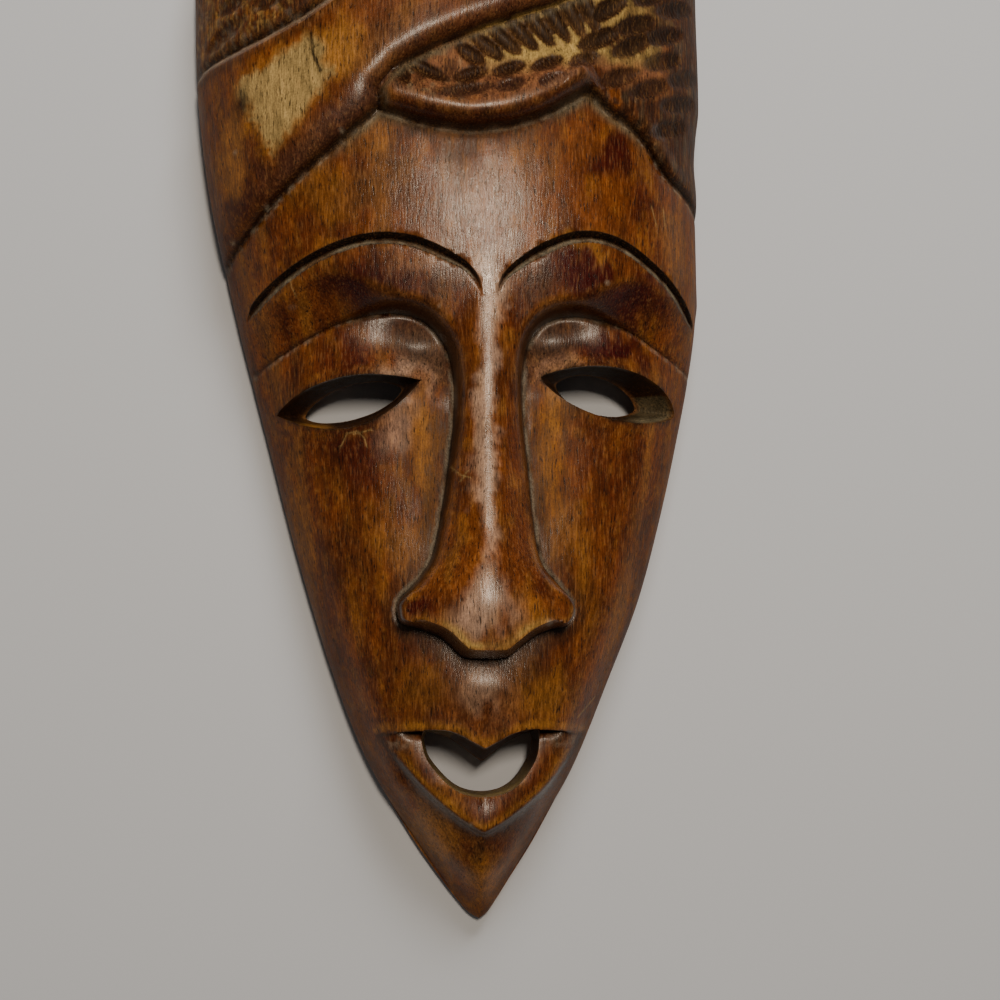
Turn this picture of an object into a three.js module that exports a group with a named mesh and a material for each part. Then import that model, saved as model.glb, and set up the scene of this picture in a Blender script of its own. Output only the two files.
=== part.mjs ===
// A carved wooden face mask, lying on its flat back rim with the face up.
// Millimetres. It is drawn in the carver's frame: x across from the nose ridge, y up from
// the chin tip towards the crown, z out of the face from the back rim. Left is -x.
import * as THREE from "three";

// Driving sizes of the blank
const LENGTH = 390;
const CHIN_CENTRE = 45; // below this height the sides run together in the pointed chin
const SHOULDER = 300; // above this height the sides close in the round crown
const CROWN_X = -11; // the crown's centre is left of the nose ridge
const CROWN_TURN = 225; // height from which the crest line turns towards the crown's centre
const RIM_HEIGHT = 5; // upright edge all round, before the front starts to round over
const RIM_WIDTH = 9; // flat back rim beside the hollow

// Half widths of the blank, left and right of the nose ridge, as [height, width]
const LEFT_WIDTH = profile([
  [0, 0], [1.2, 2.5], [6, 6.9], [13, 12.4], [26, 21.6], [51, 36.4], [77, 47], [116, 59.2],
  [155, 69.6], [195, 80], [235, 88.8], [270, 93.2], [SHOULDER, 94.3],
]);
const RIGHT_WIDTH = profile([
  [0, 0], [1.2, 2.1], [6, 5.5], [13, 10], [26, 18.2], [51, 31.4], [77, 42.2], [103, 52.4],
  [130, 59.8], [156, 65.6], [183, 70.6], [202, 72.2], [236, 72], [247, 71.3],
  [256, 71.9], [266, 73], [SHOULDER, 72.3],
]);

// Heights above the back rim along the crest of the front, as [height, level]
const DOME_CREST = profile([[150, 42], [180, 47], [205, 51], [240, 53], [SHOULDER, 52]]);
const FACE_CREST = profile([
  [0, 12], [13, 21], [28, 30], [CHIN_CENTRE, 35], [62, 38], [85, 39.5], [115, 39], [150, 38], [200, 37],
]);
const NOSE_RIDGE = profile([[80, 59], [92, 60.5], [104, 61], [125, 58], [160, 54], [200, 51.5], [225, 50]]);
const NOSE_SLOPE = profile([[90, 0.36], [105, 0.5], [122, 0.86], [160, 0.95], [200, 0.6]]);
const NOSE_ROUND = profile([[90, 11], [105, 8], [122, 4], [200, 3.5]]);
const NOSE_ROOT = { low: 200, high: 222 }; // heights between which the ridge runs out in the forehead
const NOSE_BLEND = 2;
const DOME_FULLNESS = 2.3; // how square an arch is: 2 is an ellipse
const FACE_FULLNESS = 2.7;

// Edge of the upper form: brow band and nose stand proud of sockets and cheeks
const SOCKET_LEFT = [
  [-82, 171.6], [-73.6, 175.4], [-61.5, 182.2], [-47, 189.4], [-31, 192.9], [-20, 190.8],
  [-13, 183.6], [-10.2, 174], [-9.8, 162], [-11.2, 148], [-13.6, 131], [-16.6, 116.5], [-21.5, 108.4],
];
const NOSE_BOTTOM = [
  [-26.7, 102.8], [-27.3, 99], [-26, 95.4], [-20.4, 93.7], [-14.1, 91.2], [-9.5, 87], [-6.4, 84.9],
  [0, 84.5], [6.4, 84.9], [10.7, 88], [15.4, 91.5], [20.2, 93.5], [25, 94.6], [27.2, 98.4], [26.8, 102.4],
];
const SOCKET_RIGHT = [
  [22.6, 107.6], [17.4, 114.6], [15.2, 126], [13.4, 144], [11.8, 160], [11.7, 172.5],
  [13.8, 183.5], [19, 190.2], [27, 192.6], [37, 191.4], [47, 188.2], [57, 182.6], [67, 177.4], [80, 172.6],
];
const EDGE_RUN = { brow: 4.5, outer: 15, side: 3, under: 3, wing: 1.2 }; // how far the edge takes to rise
const EDGE_OUTER = { from: 26, to: 52 }; // distance from the nose over which the brow's edge flattens
const EDGE_SIDE = { low: 166, high: 186 }; // heights between which the nose's side becomes the brow
const EDGE_UNDER = { low: 92, high: 99 }; // heights between which the nose's underside ends
const UNDER_FLATNESS = 0.75;
const WING = { from: 20, to: 24, low: 104, high: 110 }; // the steep ends of the nose's wings
const CREASE = { deep: 0.7, wide: 0.75 }; // incised line along the edge

// V cuts over the brows, from the outer end to the inner end
const BROW_LEFT = [
  [-76, 191.6], [-71, 197.9], [-58, 206.8], [-45.5, 212.2], [-33.2, 214.3],
  [-20.9, 212.4], [-8.6, 206.5], [-3.6, 201.6], [-1.9, 196.6],
];
const BROW_RIGHT = [
  [70.6, 190.6], [63.8, 199.2], [55.9, 206.2], [42, 214.2], [29, 215.6],
  [16.1, 210.6], [6.9, 203.9], [3.9, 199.8], [3, 196.2],
];
const BROW_CUT = { depth: 3, above: 1.3, below: 2.1 };
const BROW_ENDS = { outer: 0.07, inner: 0.74, least: 0.14 };
const BROW_STEPS = 48;

// Eyes: corners, and each lid's greatest height over the line between them with its fullness at the
// outer and the inner corner, in front and at the back. Lower fullness is rounder.
const EYE_LEFT = {
  front: { outer: [-65.8, 161.8], inner: [-20.1, 171.6], upper: [6.1, 0.8, 1], lower: [10.1, 1, 1] },
  back: { outer: [-57, 162.4], inner: [-26, 170.4], upper: [5.4, 0.65, 0.65], lower: [5.4, 0.65, 0.65] },
};
const EYE_RIGHT = {
  front: { outer: [62.8, 163], inner: [17.6, 172.9], upper: [8.8, 0.6, 0.85], lower: [7.9, 0.7, 0.7] },
  back: { outer: [50.6, 165.6], inner: [23.6, 172], upper: [6.2, 0.65, 0.65], lower: [5.6, 0.65, 0.65] },
};
const EYE_POINTS = 30;

// Soft swells and pits of the face
const FACE_FORMS = [
  { at: [-40, 167], wide: 21, high: 11, height: 3.4 },
  { at: [39, 169.5], wide: 20, high: 11, height: 3.4 },
  { at: [-19, 182], wide: 13, high: 10, height: -4.6 },
  { at: [20, 184], wide: 13, high: 10, height: -4.6 },
  { at: [0, 74], wide: 17, high: 12, height: 3.6 },
];

// Mouth
const LIP_HALF_WIDTH = 31;
const LIP_TAPER = 0.35; // share of the half width over which the lips run out
const MOUTH_CORNER_LEFT = [-32.4, 61];
const MOUTH_CORNER_RIGHT = [30.6, 60.9];
const TOOTH = [0, 56.6];
const UPPER_LIP_LEFT = [MOUTH_CORNER_LEFT, [-23, 62.1], [-13, 62.3], [-8.6, 61.2], [-4.4, 59], TOOTH];
const UPPER_LIP_RIGHT = [TOOTH, [4.4, 59], [8.6, 61.2], [14, 62.4], [22, 62.3], MOUTH_CORNER_RIGHT];
const LOWER_LIP_LEFT = [MOUTH_CORNER_LEFT, [-27.2, 54.4], [-18, 44.2], [-8.6, 36], [0.2, 30.4]];
const LOWER_LIP_RIGHT = [[0.2, 30.4], [8.6, 35.2], [19, 43.8], [27.4, 54.4], MOUTH_CORNER_RIGHT];
const UPPER_LIP_SWELL = { high: 1.4, wide: 5 };
const LOWER_LIP_DISH = { deep: 6, run: 12, ease: 1.25 }; // its face slopes down to the opening
const LOWER_LIP_STEP = { deep: 3.4, run: 2, fadeFrom: 3, fadeTo: 15 }; // down to the chin
const UNDER_TOOTH = { deep: 1.4, run: 3 };
const OPENING_LOWER = [[-19.6, 59], [-17.3, 52.2], [-9, 43.6], [0.6, 41.2], [9.8, 44], [16.2, 52.4], [17.6, 59]];
const OPENING_LIFT = { front: 0.4, back: -1.6 }; // of its upper edge over the lip's own edge
const OPENING_TOOTH_DROP = 3.6; // how far the tooth reaches down behind
const OPENING_MIDDLE = [-1, 52];
const OPENING_BACK_SHRINK = 0.93;
const OPENING_POINTS = 17; // along its upper edge
const OPENING_SPLINE_STEPS = 3; // along each stretch of its lower curve
const CHIN_RIDGE = [[0, 3], [0, 30]];
const CHIN_KEEL = { low: 22, high: 46, slope: 0.3, soft: 1.5 };

// Hair: the groove round the forehead, the smooth band swept over the left side, the rolled edge
const HAIR_CORNER = [-34, 254]; // where the band's lower edge meets the groove under the rolled edge
const HAIR_PEAK = [31.6, 261.6];
const HAIRLINE_LEFT = [
  [-98, 195], [-82.5, 210.8], [-70.6, 222.8], [-58, 234.6], [-46, 244], [-38, 250.4], HAIR_CORNER,
];
const HAIRLINE_MIDDLE = [
  HAIR_CORNER, [-27.3, 251.6], [-17, 248.8], [-5.8, 247.4], [6, 248.8], [16, 252.2], [24, 256.8], HAIR_PEAK,
];
const HAIRLINE_RIGHT = [HAIR_PEAK, [38.5, 255.6], [48.4, 249.8], [57.6, 238.8], [68.4, 232], [84, 220]];
const BAND_EDGE = [
  [-34.4, 259.6], [-27.6, 267.2], [-15.4, 274.2], [-2.7, 279.6], [10, 284.4],
  [24, 290], [42, 300], [55, 315], [63, 336], [72, 352],
];
const BAND_BACK = [
  [-102, 269], [-91.7, 272.4], [-78, 275.6], [-65, 280], [-52, 286.6],
  [-36, 299], [-18, 316], [-3, 338], [5, 362], [10, 400],
];
const ROLLED_EDGE = [
  [-34.4, 260.6], [-26, 257.2], [-15, 254.4], [-6, 253], [4, 255], [15, 258.8], [26, 262.8], [34, 266.4],
];
const GROOVE = { deep: 1.1, wide: 1.3 };
const BAND = { raise: 6, run: 13, edgeRun: 7, edgeShare: 0.3 };
const BAND_EDGE_CUT = { deep: 1.6, wide: 1.5 };
const BAND_BACK_CUT = { deep: 1.8, wide: 1.1, at: 0.8 };
const BAND_BACK_STEP = { from: -2.8, to: 0.4, drop: 0.4 };
const HAIR = { raise: 3.4, run: 5, recess: 0.5, recessEnd: 10, fullFrom: 38 };
const ROLL = { raise: 5.4, run: 6.4, fall: 7.5, start: 0.1, end: 0.9 };
const ROLL_POWER = 2.2; // how round a rolled-over edge is
const FAR = 500; // beyond the blank, where open edges are closed into regions

// Hollow back: its crest heights, its ends, and its arch
const HOLLOW_CREST = profile([[50, 18], [75, 22], [110, 25], [180, 25], [225, 33], [290, 36]]);
const HOLLOW_BOTTOM = 24;
const HOLLOW_TIP = 5; // height of the hollow's own pointed end
const HOLLOW_SHOULDER = 288;
const HOLLOW_TOP = 350;
const HOLLOW_CHIN_CENTRE = 60;
const HOLLOW_FULLNESS = 2.6;

// Gouge scoops in the hair: half length, half width, depth
const SCOOP = { long: 7.9, wide: 2.9, deep: 1.7 };
const SCOOP_ROW = 6.7;
const SCOOP_PITCH = 16;
const SCOOP_JITTER = { along: 2, across: 0.7, turn: 0.12 };
const SCOOP_ROUND = 0.7; // how round a scoop's floor is
const SCOOP_FADE = { from: 0.6, to: 2.4 }; // clearance over which a scoop fades beside a groove
const SCOOP_REACH = 0.92; // share of the way out to the blank's edge
const RIGHT_ROWS = { at: [48.5, 285.6], heading: 0.5, left: 33, offBand: 4.2, offGroove: 5.5 };
const LEFT_ROWS = { at: [-60, 310], heading: 0.5, offBand: 4.5 };
const ROW_SPAN = { along: 8, down: -14, up: 14 };
const FAN = { count: 8, from: [-5.6, 270.4], to: [30.8, 288], heading: -0.56, turn: -0.6 };
const FAN_SCOOP = { long: 5.2, longer: 4.6, wide: 2.5, deep: 1.5 };
const FAN_CORNER = [
  { x: -19.5, y: 265, long: 7.4, wide: 2.3, deep: 1.5, heading: -0.48 },
  { x: -26.6, y: 263.6, long: 4.4, wide: 1.9, deep: 1.5, heading: -1.2 },
];
const RIM_ROWS = [
  { count: 3, from: [-6.9, 258.2], to: [19.4, 262], long: 8, shorter: 3.4, heading: 0.22 },
  { count: 4, from: [-5.6, 263.8], to: [29.6, 269.8], long: 5.4, shorter: 0, heading: 0.32 },
];
const RIM_SCOOP = { wide: 2.3, deep: 1.3, turn: 0.16 };

// Spacing of the net of facets
const OUTLINE_STEP = 6.4;
const TIP_STEP = 3.2;
const TIP_HEIGHT = 20;
const FRONT_RINGS = [0.945, 0.975, 0.992, 1];
const FRONT_MARGINS = [3, 1.5, 1.5, 1.1]; // kept free inside the outline and round the eyes and the mouth
const HOLLOW_RINGS = [1, 0.985, 0.94];
const HOLLOW_MARGINS = [4, 2, 2, 2];
const FILL_STEP = 7.2;
const HOLLOW_STEP = 15;
const FILL_GAP = 0.55; // least distance of fill sites, as a share of their step
const CHIN_ROWS = { offsets: [0, 3, -3, 6.5, -6.5], step: 4, gap: 1.5 };
const UPPER_LIP_ROWS = { offsets: [0.1, -1.1, 3.2], step: 2.8, gap: 0.9 };
const LOWER_LIP_ROWS = { offsets: [0.1, -2, 4.6, -5.5], step: 3.4, gap: 1.5 };
const NOSE_ROWS = { offsets: [0, 3, 5.5, -3], step: 2.6, gap: 1.4 };
const NOSE_SIDE_ROWS = { offsets: [0, 3.5, -3.5, 7.5, -7.5], step: 6, gap: 2.2 };
const NOSE_LINE = [[0, 90], [0, 232]];
const SOCKET_ROWS = { offsets: [0, 1.2, -1.2, 3.4, -4, 6.6], step: 3.4, gap: 1 };
const BROW_ROWS = { step: 3.4, gap: 0.8, above: 4.5, below: 5 };
const HAIRLINE_ROWS = { offsets: [0, 2.2, -2.2, 5.8], step: 4.6, gap: 1.5 };
const ROLL_ROWS = { offsets: [0, 3.4, -2.4], step: 4.2, gap: 1.6 };
const BAND_EDGE_ROWS = { offsets: [-0.9, 1.6, 5.6], step: 5, gap: 1.4 };
const BAND_BACK_ROWS = { offsets: [0.9, -1.2, -4.5], step: 5, gap: 1.5 };
const EYE_ROWS = { offsets: [-2.6, -6.5], step: 4.6, gap: 2 };
const SCOOP_SITES = { spine: [-0.55, 0, 0.55], around: 8, clearance: 1.8, gap: 1.3 };
const SITE_NUDGE = 0.004;
const TINY = 1e-6;

const { clamp, lerp, smoothstep } = THREE.MathUtils;
const bell = (distance, wide) => Math.exp(-((distance / wide) ** 2));

// A smooth curve of values through [position, value] stations, level beyond the ends.
function profile(stations) {
  const last = stations.length - 1;
  const slopeAt = (i) => {
    const before = stations[Math.max(i - 1, 0)];
    const after = stations[Math.min(i + 1, last)];
    return (after[1] - before[1]) / (after[0] - before[0]);
  };
  return (position) => {
    if (position <= stations[0][0]) return stations[0][1];
    if (position >= stations[last][0]) return stations[last][1];
    const i = stations.findIndex(([next]) => next > position) - 1;
    const [from, low] = stations[i];
    const [to, high] = stations[i + 1];
    const t = (position - from) / (to - from);
    const start = slopeAt(i) * (to - from);
    const end = slopeAt(i + 1) * (to - from);
    const square = 3 * (high - low) - 2 * start - end;
    const cube = start + end - 2 * (high - low);
    return low + t * (start + t * (square + t * cube));
  };
}

function spline(points, stepsEach = 6) {
  const curve = new THREE.SplineCurve(points.map(([x, y]) => new THREE.Vector2(x, y)));
  return curve.getPoints((points.length - 1) * stepsEach).map((p) => [p.x, p.y]);
}

function evenSpline(points, steps) {
  const curve = new THREE.SplineCurve(points.map(([x, y]) => new THREE.Vector2(x, y)));
  return curve.getSpacedPoints(steps).map((p) => [p.x, p.y]);
}

// Splines that meet in sharp corners.
function joined(...lines) {
  return lines.flatMap((line, i) => spline(line).slice(Math.min(i, 1)));
}

// A rounded rise from 0 at the edge to 1 at the given run behind it.
function roll(distance, run) {
  return Math.sqrt(1 - (1 - clamp(distance / run, 0, 1)) ** ROLL_POWER);
}

// The nearest point of a line: its distance, its share of the way along, and the side it is seen from.
function nearest(line, x, y) {
  let best = { distance: Infinity, along: 0, side: 1 };
  for (let i = 0; i + 1 < line.length; i++) {
    const [ax, ay] = line[i];
    const dx = line[i + 1][0] - ax;
    const dy = line[i + 1][1] - ay;
    const t = clamp(((x - ax) * dx + (y - ay) * dy) / (dx * dx + dy * dy), 0, 1);
    const distance = Math.hypot(x - ax - t * dx, y - ay - t * dy);
    if (distance < best.distance) {
      const side = Math.sign(dx * (y - ay) - dy * (x - ax)) || 1;
      best = { distance, along: (i + t) / (line.length - 1), side };
    }
  }
  return best;
}

function isInside(loop, x, y) {
  let inside = false;
  for (let i = 0, j = loop.length - 1; i < loop.length; j = i++) {
    const [ax, ay] = loop[i];
    const [bx, by] = loop[j];
    if (ay > y !== by > y && x < ((bx - ax) * (y - ay)) / (by - ay) + ax) inside = !inside;
  }
  return inside;
}

// How far a point lies above an edge that runs from left to right. Below it is negative.
// Where the region's lower left reaches further down than the edge, its corner is given too.
function depthAbove(edge, corner = edge[0]) {
  const over = [[FAR, edge.at(-1)[1]], [FAR, FAR], [-FAR, FAR], [-FAR, corner[1]], corner];
  const loop = [...edge, ...over];
  return (x, y) => nearest(edge, x, y).distance * (isInside(loop, x, y) ? 1 : -1);
}

const upperEdge = spline([...SOCKET_LEFT, ...NOSE_BOTTOM, ...SOCKET_RIGHT]);
const hairline = joined(HAIRLINE_LEFT, HAIRLINE_MIDDLE, HAIRLINE_RIGHT);
const bandEdge = spline(BAND_EDGE);
const bandBack = spline(BAND_BACK);
const rolledEdge = spline(ROLLED_EDGE);
const browCuts = [
  { line: evenSpline(BROW_LEFT, BROW_STEPS), up: 1 },
  { line: evenSpline(BROW_RIGHT, BROW_STEPS), up: -1 },
];
const upperLip = joined(UPPER_LIP_LEFT, UPPER_LIP_RIGHT);
const lowerLip = joined(LOWER_LIP_LEFT, LOWER_LIP_RIGHT);
const mouthRegion = [...upperLip, ...lowerLip.slice(1, -1).reverse()];

const upperDepth = depthAbove(upperEdge);
const hairDepth = depthAbove(hairline);
const bandDepth = depthAbove([HAIR_CORNER, ...bandEdge], HAIRLINE_LEFT[0]);
const backDepth = depthAbove(bandBack);

// A loop from its pointed lower end up the right side, over the round crown and down the left side.
function pointedLoop(tip, heights, rightAt, leftAt, crown, step) {
  const half = (rightAt(crown.low) + leftAt(crown.low)) / 2;
  const count = Math.round((Math.PI * half) / step);
  const over = Array.from({ length: count + 1 }, (_, i) => {
    const turn = (Math.PI * i) / count;
    return [CROWN_X + half * Math.cos(turn), crown.low + (crown.top - crown.low) * Math.sin(turn)];
  });
  const right = heights.map((y) => [rightAt(y), y]);
  const left = heights.map((y) => [-leftAt(y), y]).reverse();
  return [tip, ...right, ...over, ...left];
}

function blankOutline() {
  const heights = [];
  for (let y = TIP_STEP; y < SHOULDER; y += y < TIP_HEIGHT ? TIP_STEP : OUTLINE_STEP) heights.push(y);
  const crown = { low: SHOULDER, top: LENGTH };
  return pointedLoop([0, 0], heights, RIGHT_WIDTH, LEFT_WIDTH, crown, OUTLINE_STEP);
}

// The hollow's edge in the back face, one rim width inside the outline.
function hollowOutline() {
  const step = 1.5 * OUTLINE_STEP;
  const inset = (width) => (y) => {
    const slope = (width(y + 1) - width(y - 1)) / 2;
    return width(y) - RIM_WIDTH * Math.hypot(1, slope);
  };
  const heights = [];
  for (let y = HOLLOW_BOTTOM + HOLLOW_TIP; y < HOLLOW_SHOULDER; y += step) heights.push(y);
  const crown = { low: HOLLOW_SHOULDER, top: HOLLOW_TOP };
  return pointedLoop([0, HOLLOW_BOTTOM], heights, inset(RIGHT_WIDTH), inset(LEFT_WIDTH), crown, step);
}

const blankLoop = blankOutline();
const hollowLoop = hollowOutline();

// The point of the crest line that a point of a form rounds down from.
function crestPoint(y, low, high) {
  const height = clamp(y, low, high);
  return [CROWN_X * smoothstep(height, CROWN_TURN, high), height];
}

// 0 on the crest line and 1 on the loop, measured along the ray from the crest through the point.
function radius(loop, x, y, low, high) {
  const [cx, cy] = crestPoint(y, low, high);
  const distance = Math.hypot(x - cx, y - cy);
  if (distance < TINY) return 0;
  const ux = (x - cx) / distance;
  const uy = (y - cy) / distance;
  let reach = Infinity;
  for (let i = 0, j = loop.length - 1; i < loop.length; j = i++) {
    const [ax, ay] = loop[j];
    const ex = loop[i][0] - ax;
    const ey = loop[i][1] - ay;
    const cross = ux * ey - uy * ex;
    if (Math.abs(cross) < TINY) continue;
    const out = ((ax - cx) * ey - (ay - cy) * ex) / cross;
    const t = ((ax - cx) * uy - (ay - cy) * ux) / cross;
    if (out > 0 && t >= -TINY && t <= 1 + TINY) reach = Math.min(reach, out);
  }
  return distance / reach;
}

const blankRadius = (x, y) => radius(blankLoop, x, y, CHIN_CENTRE, SHOULDER);
const arch = (r, fullness) => Math.sqrt(1 - clamp(r, 0, 1) ** fullness);
const swell = (form, x, y) => form.height * bell(x - form.at[0], form.wide) * bell(y - form.at[1], form.high);

// Repeatable scatter between -1 and 1 for hand-made unevenness.
const SCATTER_WAVE = { first: 127.1, second: 311.7, scale: 43758.5453 };
function scatter(a, b) {
  const s = Math.sin(a * SCATTER_WAVE.first + b * SCATTER_WAVE.second) * SCATTER_WAVE.scale;
  return 2 * (s - Math.floor(s)) - 1;
}

// Staggered rows of scoops round a point, where they are accepted.
function scoopRows(rows, accept) {
  const made = [];
  const [cos, sin] = [Math.cos(rows.heading), Math.sin(rows.heading)];
  for (let i = -ROW_SPAN.along; i <= ROW_SPAN.along; i++)
    for (let j = ROW_SPAN.down; j <= ROW_SPAN.up; j++) {
      const stagger = j % 2 ? 0.5 : 0;
      const u = (i + stagger) * SCOOP_PITCH + SCOOP_JITTER.along * scatter(i, j);
      const v = j * SCOOP_ROW + SCOOP_JITTER.across * scatter(j, i);
      const x = rows.at[0] + u * cos - v * sin;
      const y = rows.at[1] + u * sin + v * cos;
      const heading = rows.heading + SCOOP_JITTER.turn * scatter(i + ROW_SPAN.along, j);
      if (blankRadius(x, y) < SCOOP_REACH && accept(x, y)) made.push({ x, y, heading, ...SCOOP });
    }
  return made;
}

// The fan of scoops in the recess between the band and the rolled edge.
function fanScoops() {
  const fan = Array.from({ length: FAN.count }, (_, i) => {
    const t = i / (FAN.count - 1);
    return {
      x: lerp(FAN.from[0], FAN.to[0], t),
      y: lerp(FAN.from[1], FAN.to[1], t),
      heading: FAN.heading + FAN.turn * t,
      long: FAN_SCOOP.long + FAN_SCOOP.longer * t,
      wide: FAN_SCOOP.wide,
      deep: FAN_SCOOP.deep,
    };
  });
  return [...fan, ...FAN_CORNER];
}

// Rows of short scoops behind the rolled edge.
function rimScoops() {
  return RIM_ROWS.flatMap((row) =>
    Array.from({ length: row.count }, (_, i) => {
      const t = i / (row.count - 1);
      return {
        x: lerp(row.from[0], row.to[0], t),
        y: lerp(row.from[1], row.to[1], t),
        heading: row.heading + RIM_SCOOP.turn * t,
        long: row.long - row.shorter * Math.min(1, 2 * t),
        wide: RIM_SCOOP.wide,
        deep: RIM_SCOOP.deep,
      };
    }),
  );
}

const inRightHair = (x, y) =>
  x > RIGHT_ROWS.left && bandDepth(x, y) < -RIGHT_ROWS.offBand && hairDepth(x, y) > RIGHT_ROWS.offGroove;
const hairScoops = [
  ...scoopRows(RIGHT_ROWS, inRightHair),
  ...scoopRows(LEFT_ROWS, (x, y) => backDepth(x, y) > LEFT_ROWS.offBand),
  ...fanScoops(),
  ...rimScoops(),
];

// How far a point of the scooped hair is from the grooves round it.
function scoopClearance(x, y) {
  const band = bandDepth(x, y);
  return band > 0 ? backDepth(x, y) : Math.min(-band, hairDepth(x, y));
}

function scoopDepth(x, y) {
  const clear = scoopClearance(x, y);
  let deepest = 0;
  if (clear <= 0) return deepest;
  for (const s of hairScoops) {
    const dx = x - s.x;
    const dy = y - s.y;
    const u = (dx * Math.cos(s.heading) + dy * Math.sin(s.heading)) / s.long;
    const v = (dy * Math.cos(s.heading) - dx * Math.sin(s.heading)) / s.wide;
    const q = u * u + v * v;
    if (q < 1) deepest = Math.max(deepest, s.deep * (1 - q) ** SCOOP_ROUND);
  }
  return deepest * smoothstep(clear, SCOOP_FADE.from, SCOOP_FADE.to);
}

// Height of the swept band over the forehead, down to the scooped hair behind it.
function bandLevel(inHair, band, back) {
  const edge = BAND.edgeShare + (1 - BAND.edgeShare) * roll(band, BAND.edgeRun);
  const top = BAND.raise * roll(inHair, BAND.run) * edge;
  const behind = smoothstep(back, BAND_BACK_STEP.from, BAND_BACK_STEP.to);
  const cut = BAND_BACK_CUT.deep * bell(back - BAND_BACK_CUT.at, BAND_BACK_CUT.wide);
  return lerp(top, HAIR.raise - BAND_BACK_STEP.drop, behind) - cut;
}

// Height of the scooped hair right of the band, with its rolled edge over the forehead.
function hairLevel(x, y, inHair, band) {
  const full = smoothstep(x, HAIR.recessEnd, HAIR.fullFrom);
  const level = HAIR.raise * roll(inHair, HAIR.run) * lerp(HAIR.recess, 1, full);
  const { distance, along, side } = nearest(rolledEdge, x, y);
  const taper = smoothstep(along, 0, ROLL.start) * (1 - smoothstep(along, ROLL.end, 1));
  const fall = side > 0 ? bell(distance, ROLL.fall) : 1;
  const rim = ROLL.raise * taper * fall * roll(inHair, ROLL.run);
  return level + rim - BAND_EDGE_CUT.deep * bell(band, BAND_EDGE_CUT.wide);
}

// Relief of the hair above the forehead dome, with the groove round the forehead.
function hairRelief(x, y) {
  const inHair = hairDepth(x, y);
  const groove = -GROOVE.deep * bell(inHair, GROOVE.wide);
  if (inHair <= 0) return groove;
  const band = bandDepth(x, y);
  const level = band > 0 ? bandLevel(inHair, band, backDepth(x, y)) : hairLevel(x, y, inHair, band);
  return groove + level - scoopDepth(x, y);
}

// How full a brow cut is at a share of the way from its outer to its inner end.
function browTaper(along) {
  return smoothstep(along, 0, BROW_ENDS.outer) * Math.sqrt(1 - smoothstep(along, BROW_ENDS.inner, 1));
}

// Depth of the V cuts over the brows.
function browCutDepth(x, y) {
  const depths = browCuts.map(({ line, up }) => {
    const { distance, along, side } = nearest(line, x, y);
    const taper = browTaper(along);
    const wall = side * up > 0 ? BROW_CUT.above : BROW_CUT.below;
    return BROW_CUT.depth * taper * (1 - distance / (wall * lerp(BROW_ENDS.least, 1, taper)));
  });
  return Math.max(0, ...depths);
}

// Height of the upper lip's edge at a place across the mouth, level beyond its corners.
function lipHeight(x) {
  const i = upperLip.findIndex(([next]) => next > x);
  if (i < 1) return MOUTH_CORNER_LEFT[1];
  const [ax, ay] = upperLip[i - 1];
  const [bx, by] = upperLip[i];
  return ay + ((by - ay) * (x - ax)) / (bx - ax);
}

// Relief of the lips over the face.
function lipRelief(x, y) {
  const lower = nearest(lowerLip, x, y).distance;
  const upper = nearest(upperLip, x, y).distance;
  const taper = smoothstep(1 - Math.abs(x) / LIP_HALF_WIDTH, 0, LIP_TAPER);
  if (isInside(mouthRegion, x, y)) {
    const dish = LOWER_LIP_DISH.deep * Math.min(1, lower / LOWER_LIP_DISH.run) ** LOWER_LIP_DISH.ease;
    return -taper * (dish + UNDER_TOOTH.deep * smoothstep(-upper, -UNDER_TOOTH.run, 0));
  }
  if (y > lipHeight(x)) return taper * UPPER_LIP_SWELL.high * bell(upper, UPPER_LIP_SWELL.wide);
  const fade = 1 - smoothstep(lower, LOWER_LIP_STEP.fadeFrom, LOWER_LIP_STEP.fadeTo);
  return -taper * LOWER_LIP_STEP.deep * smoothstep(lower, 0, LOWER_LIP_STEP.run) * fade;
}

// Sockets, cheeks, muzzle, lips and chin.
function faceLevel(x, y, r) {
  const base = RIM_HEIGHT + (FACE_CREST(y) - RIM_HEIGHT) * arch(r, FACE_FULLNESS);
  const forms = FACE_FORMS.reduce((sum, form) => sum + swell(form, x, y), 0);
  const inChin = 1 - smoothstep(y, CHIN_KEEL.low, CHIN_KEEL.high);
  const keel = inChin * CHIN_KEEL.slope * (Math.hypot(x, CHIN_KEEL.soft) - CHIN_KEEL.soft);
  return base + forms - keel + lipRelief(x, y);
}

// Forehead dome, hair and nose, before the sockets and cheeks are cut back.
function upperLevel(x, y, r) {
  const dome = RIM_HEIGHT + (DOME_CREST(y) - RIM_HEIGHT) * arch(r, DOME_FULLNESS);
  const soft = NOSE_ROUND(y);
  const nose = NOSE_RIDGE(y) - NOSE_SLOPE(y) * (Math.hypot(x, soft) - soft);
  const top = (dome + nose + Math.hypot(dome - nose, NOSE_BLEND)) / 2;
  const merged = lerp(top, dome, smoothstep(y, NOSE_ROOT.low, NOSE_ROOT.high));
  return merged + hairRelief(x, y) - browCutDepth(x, y);
}

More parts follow.
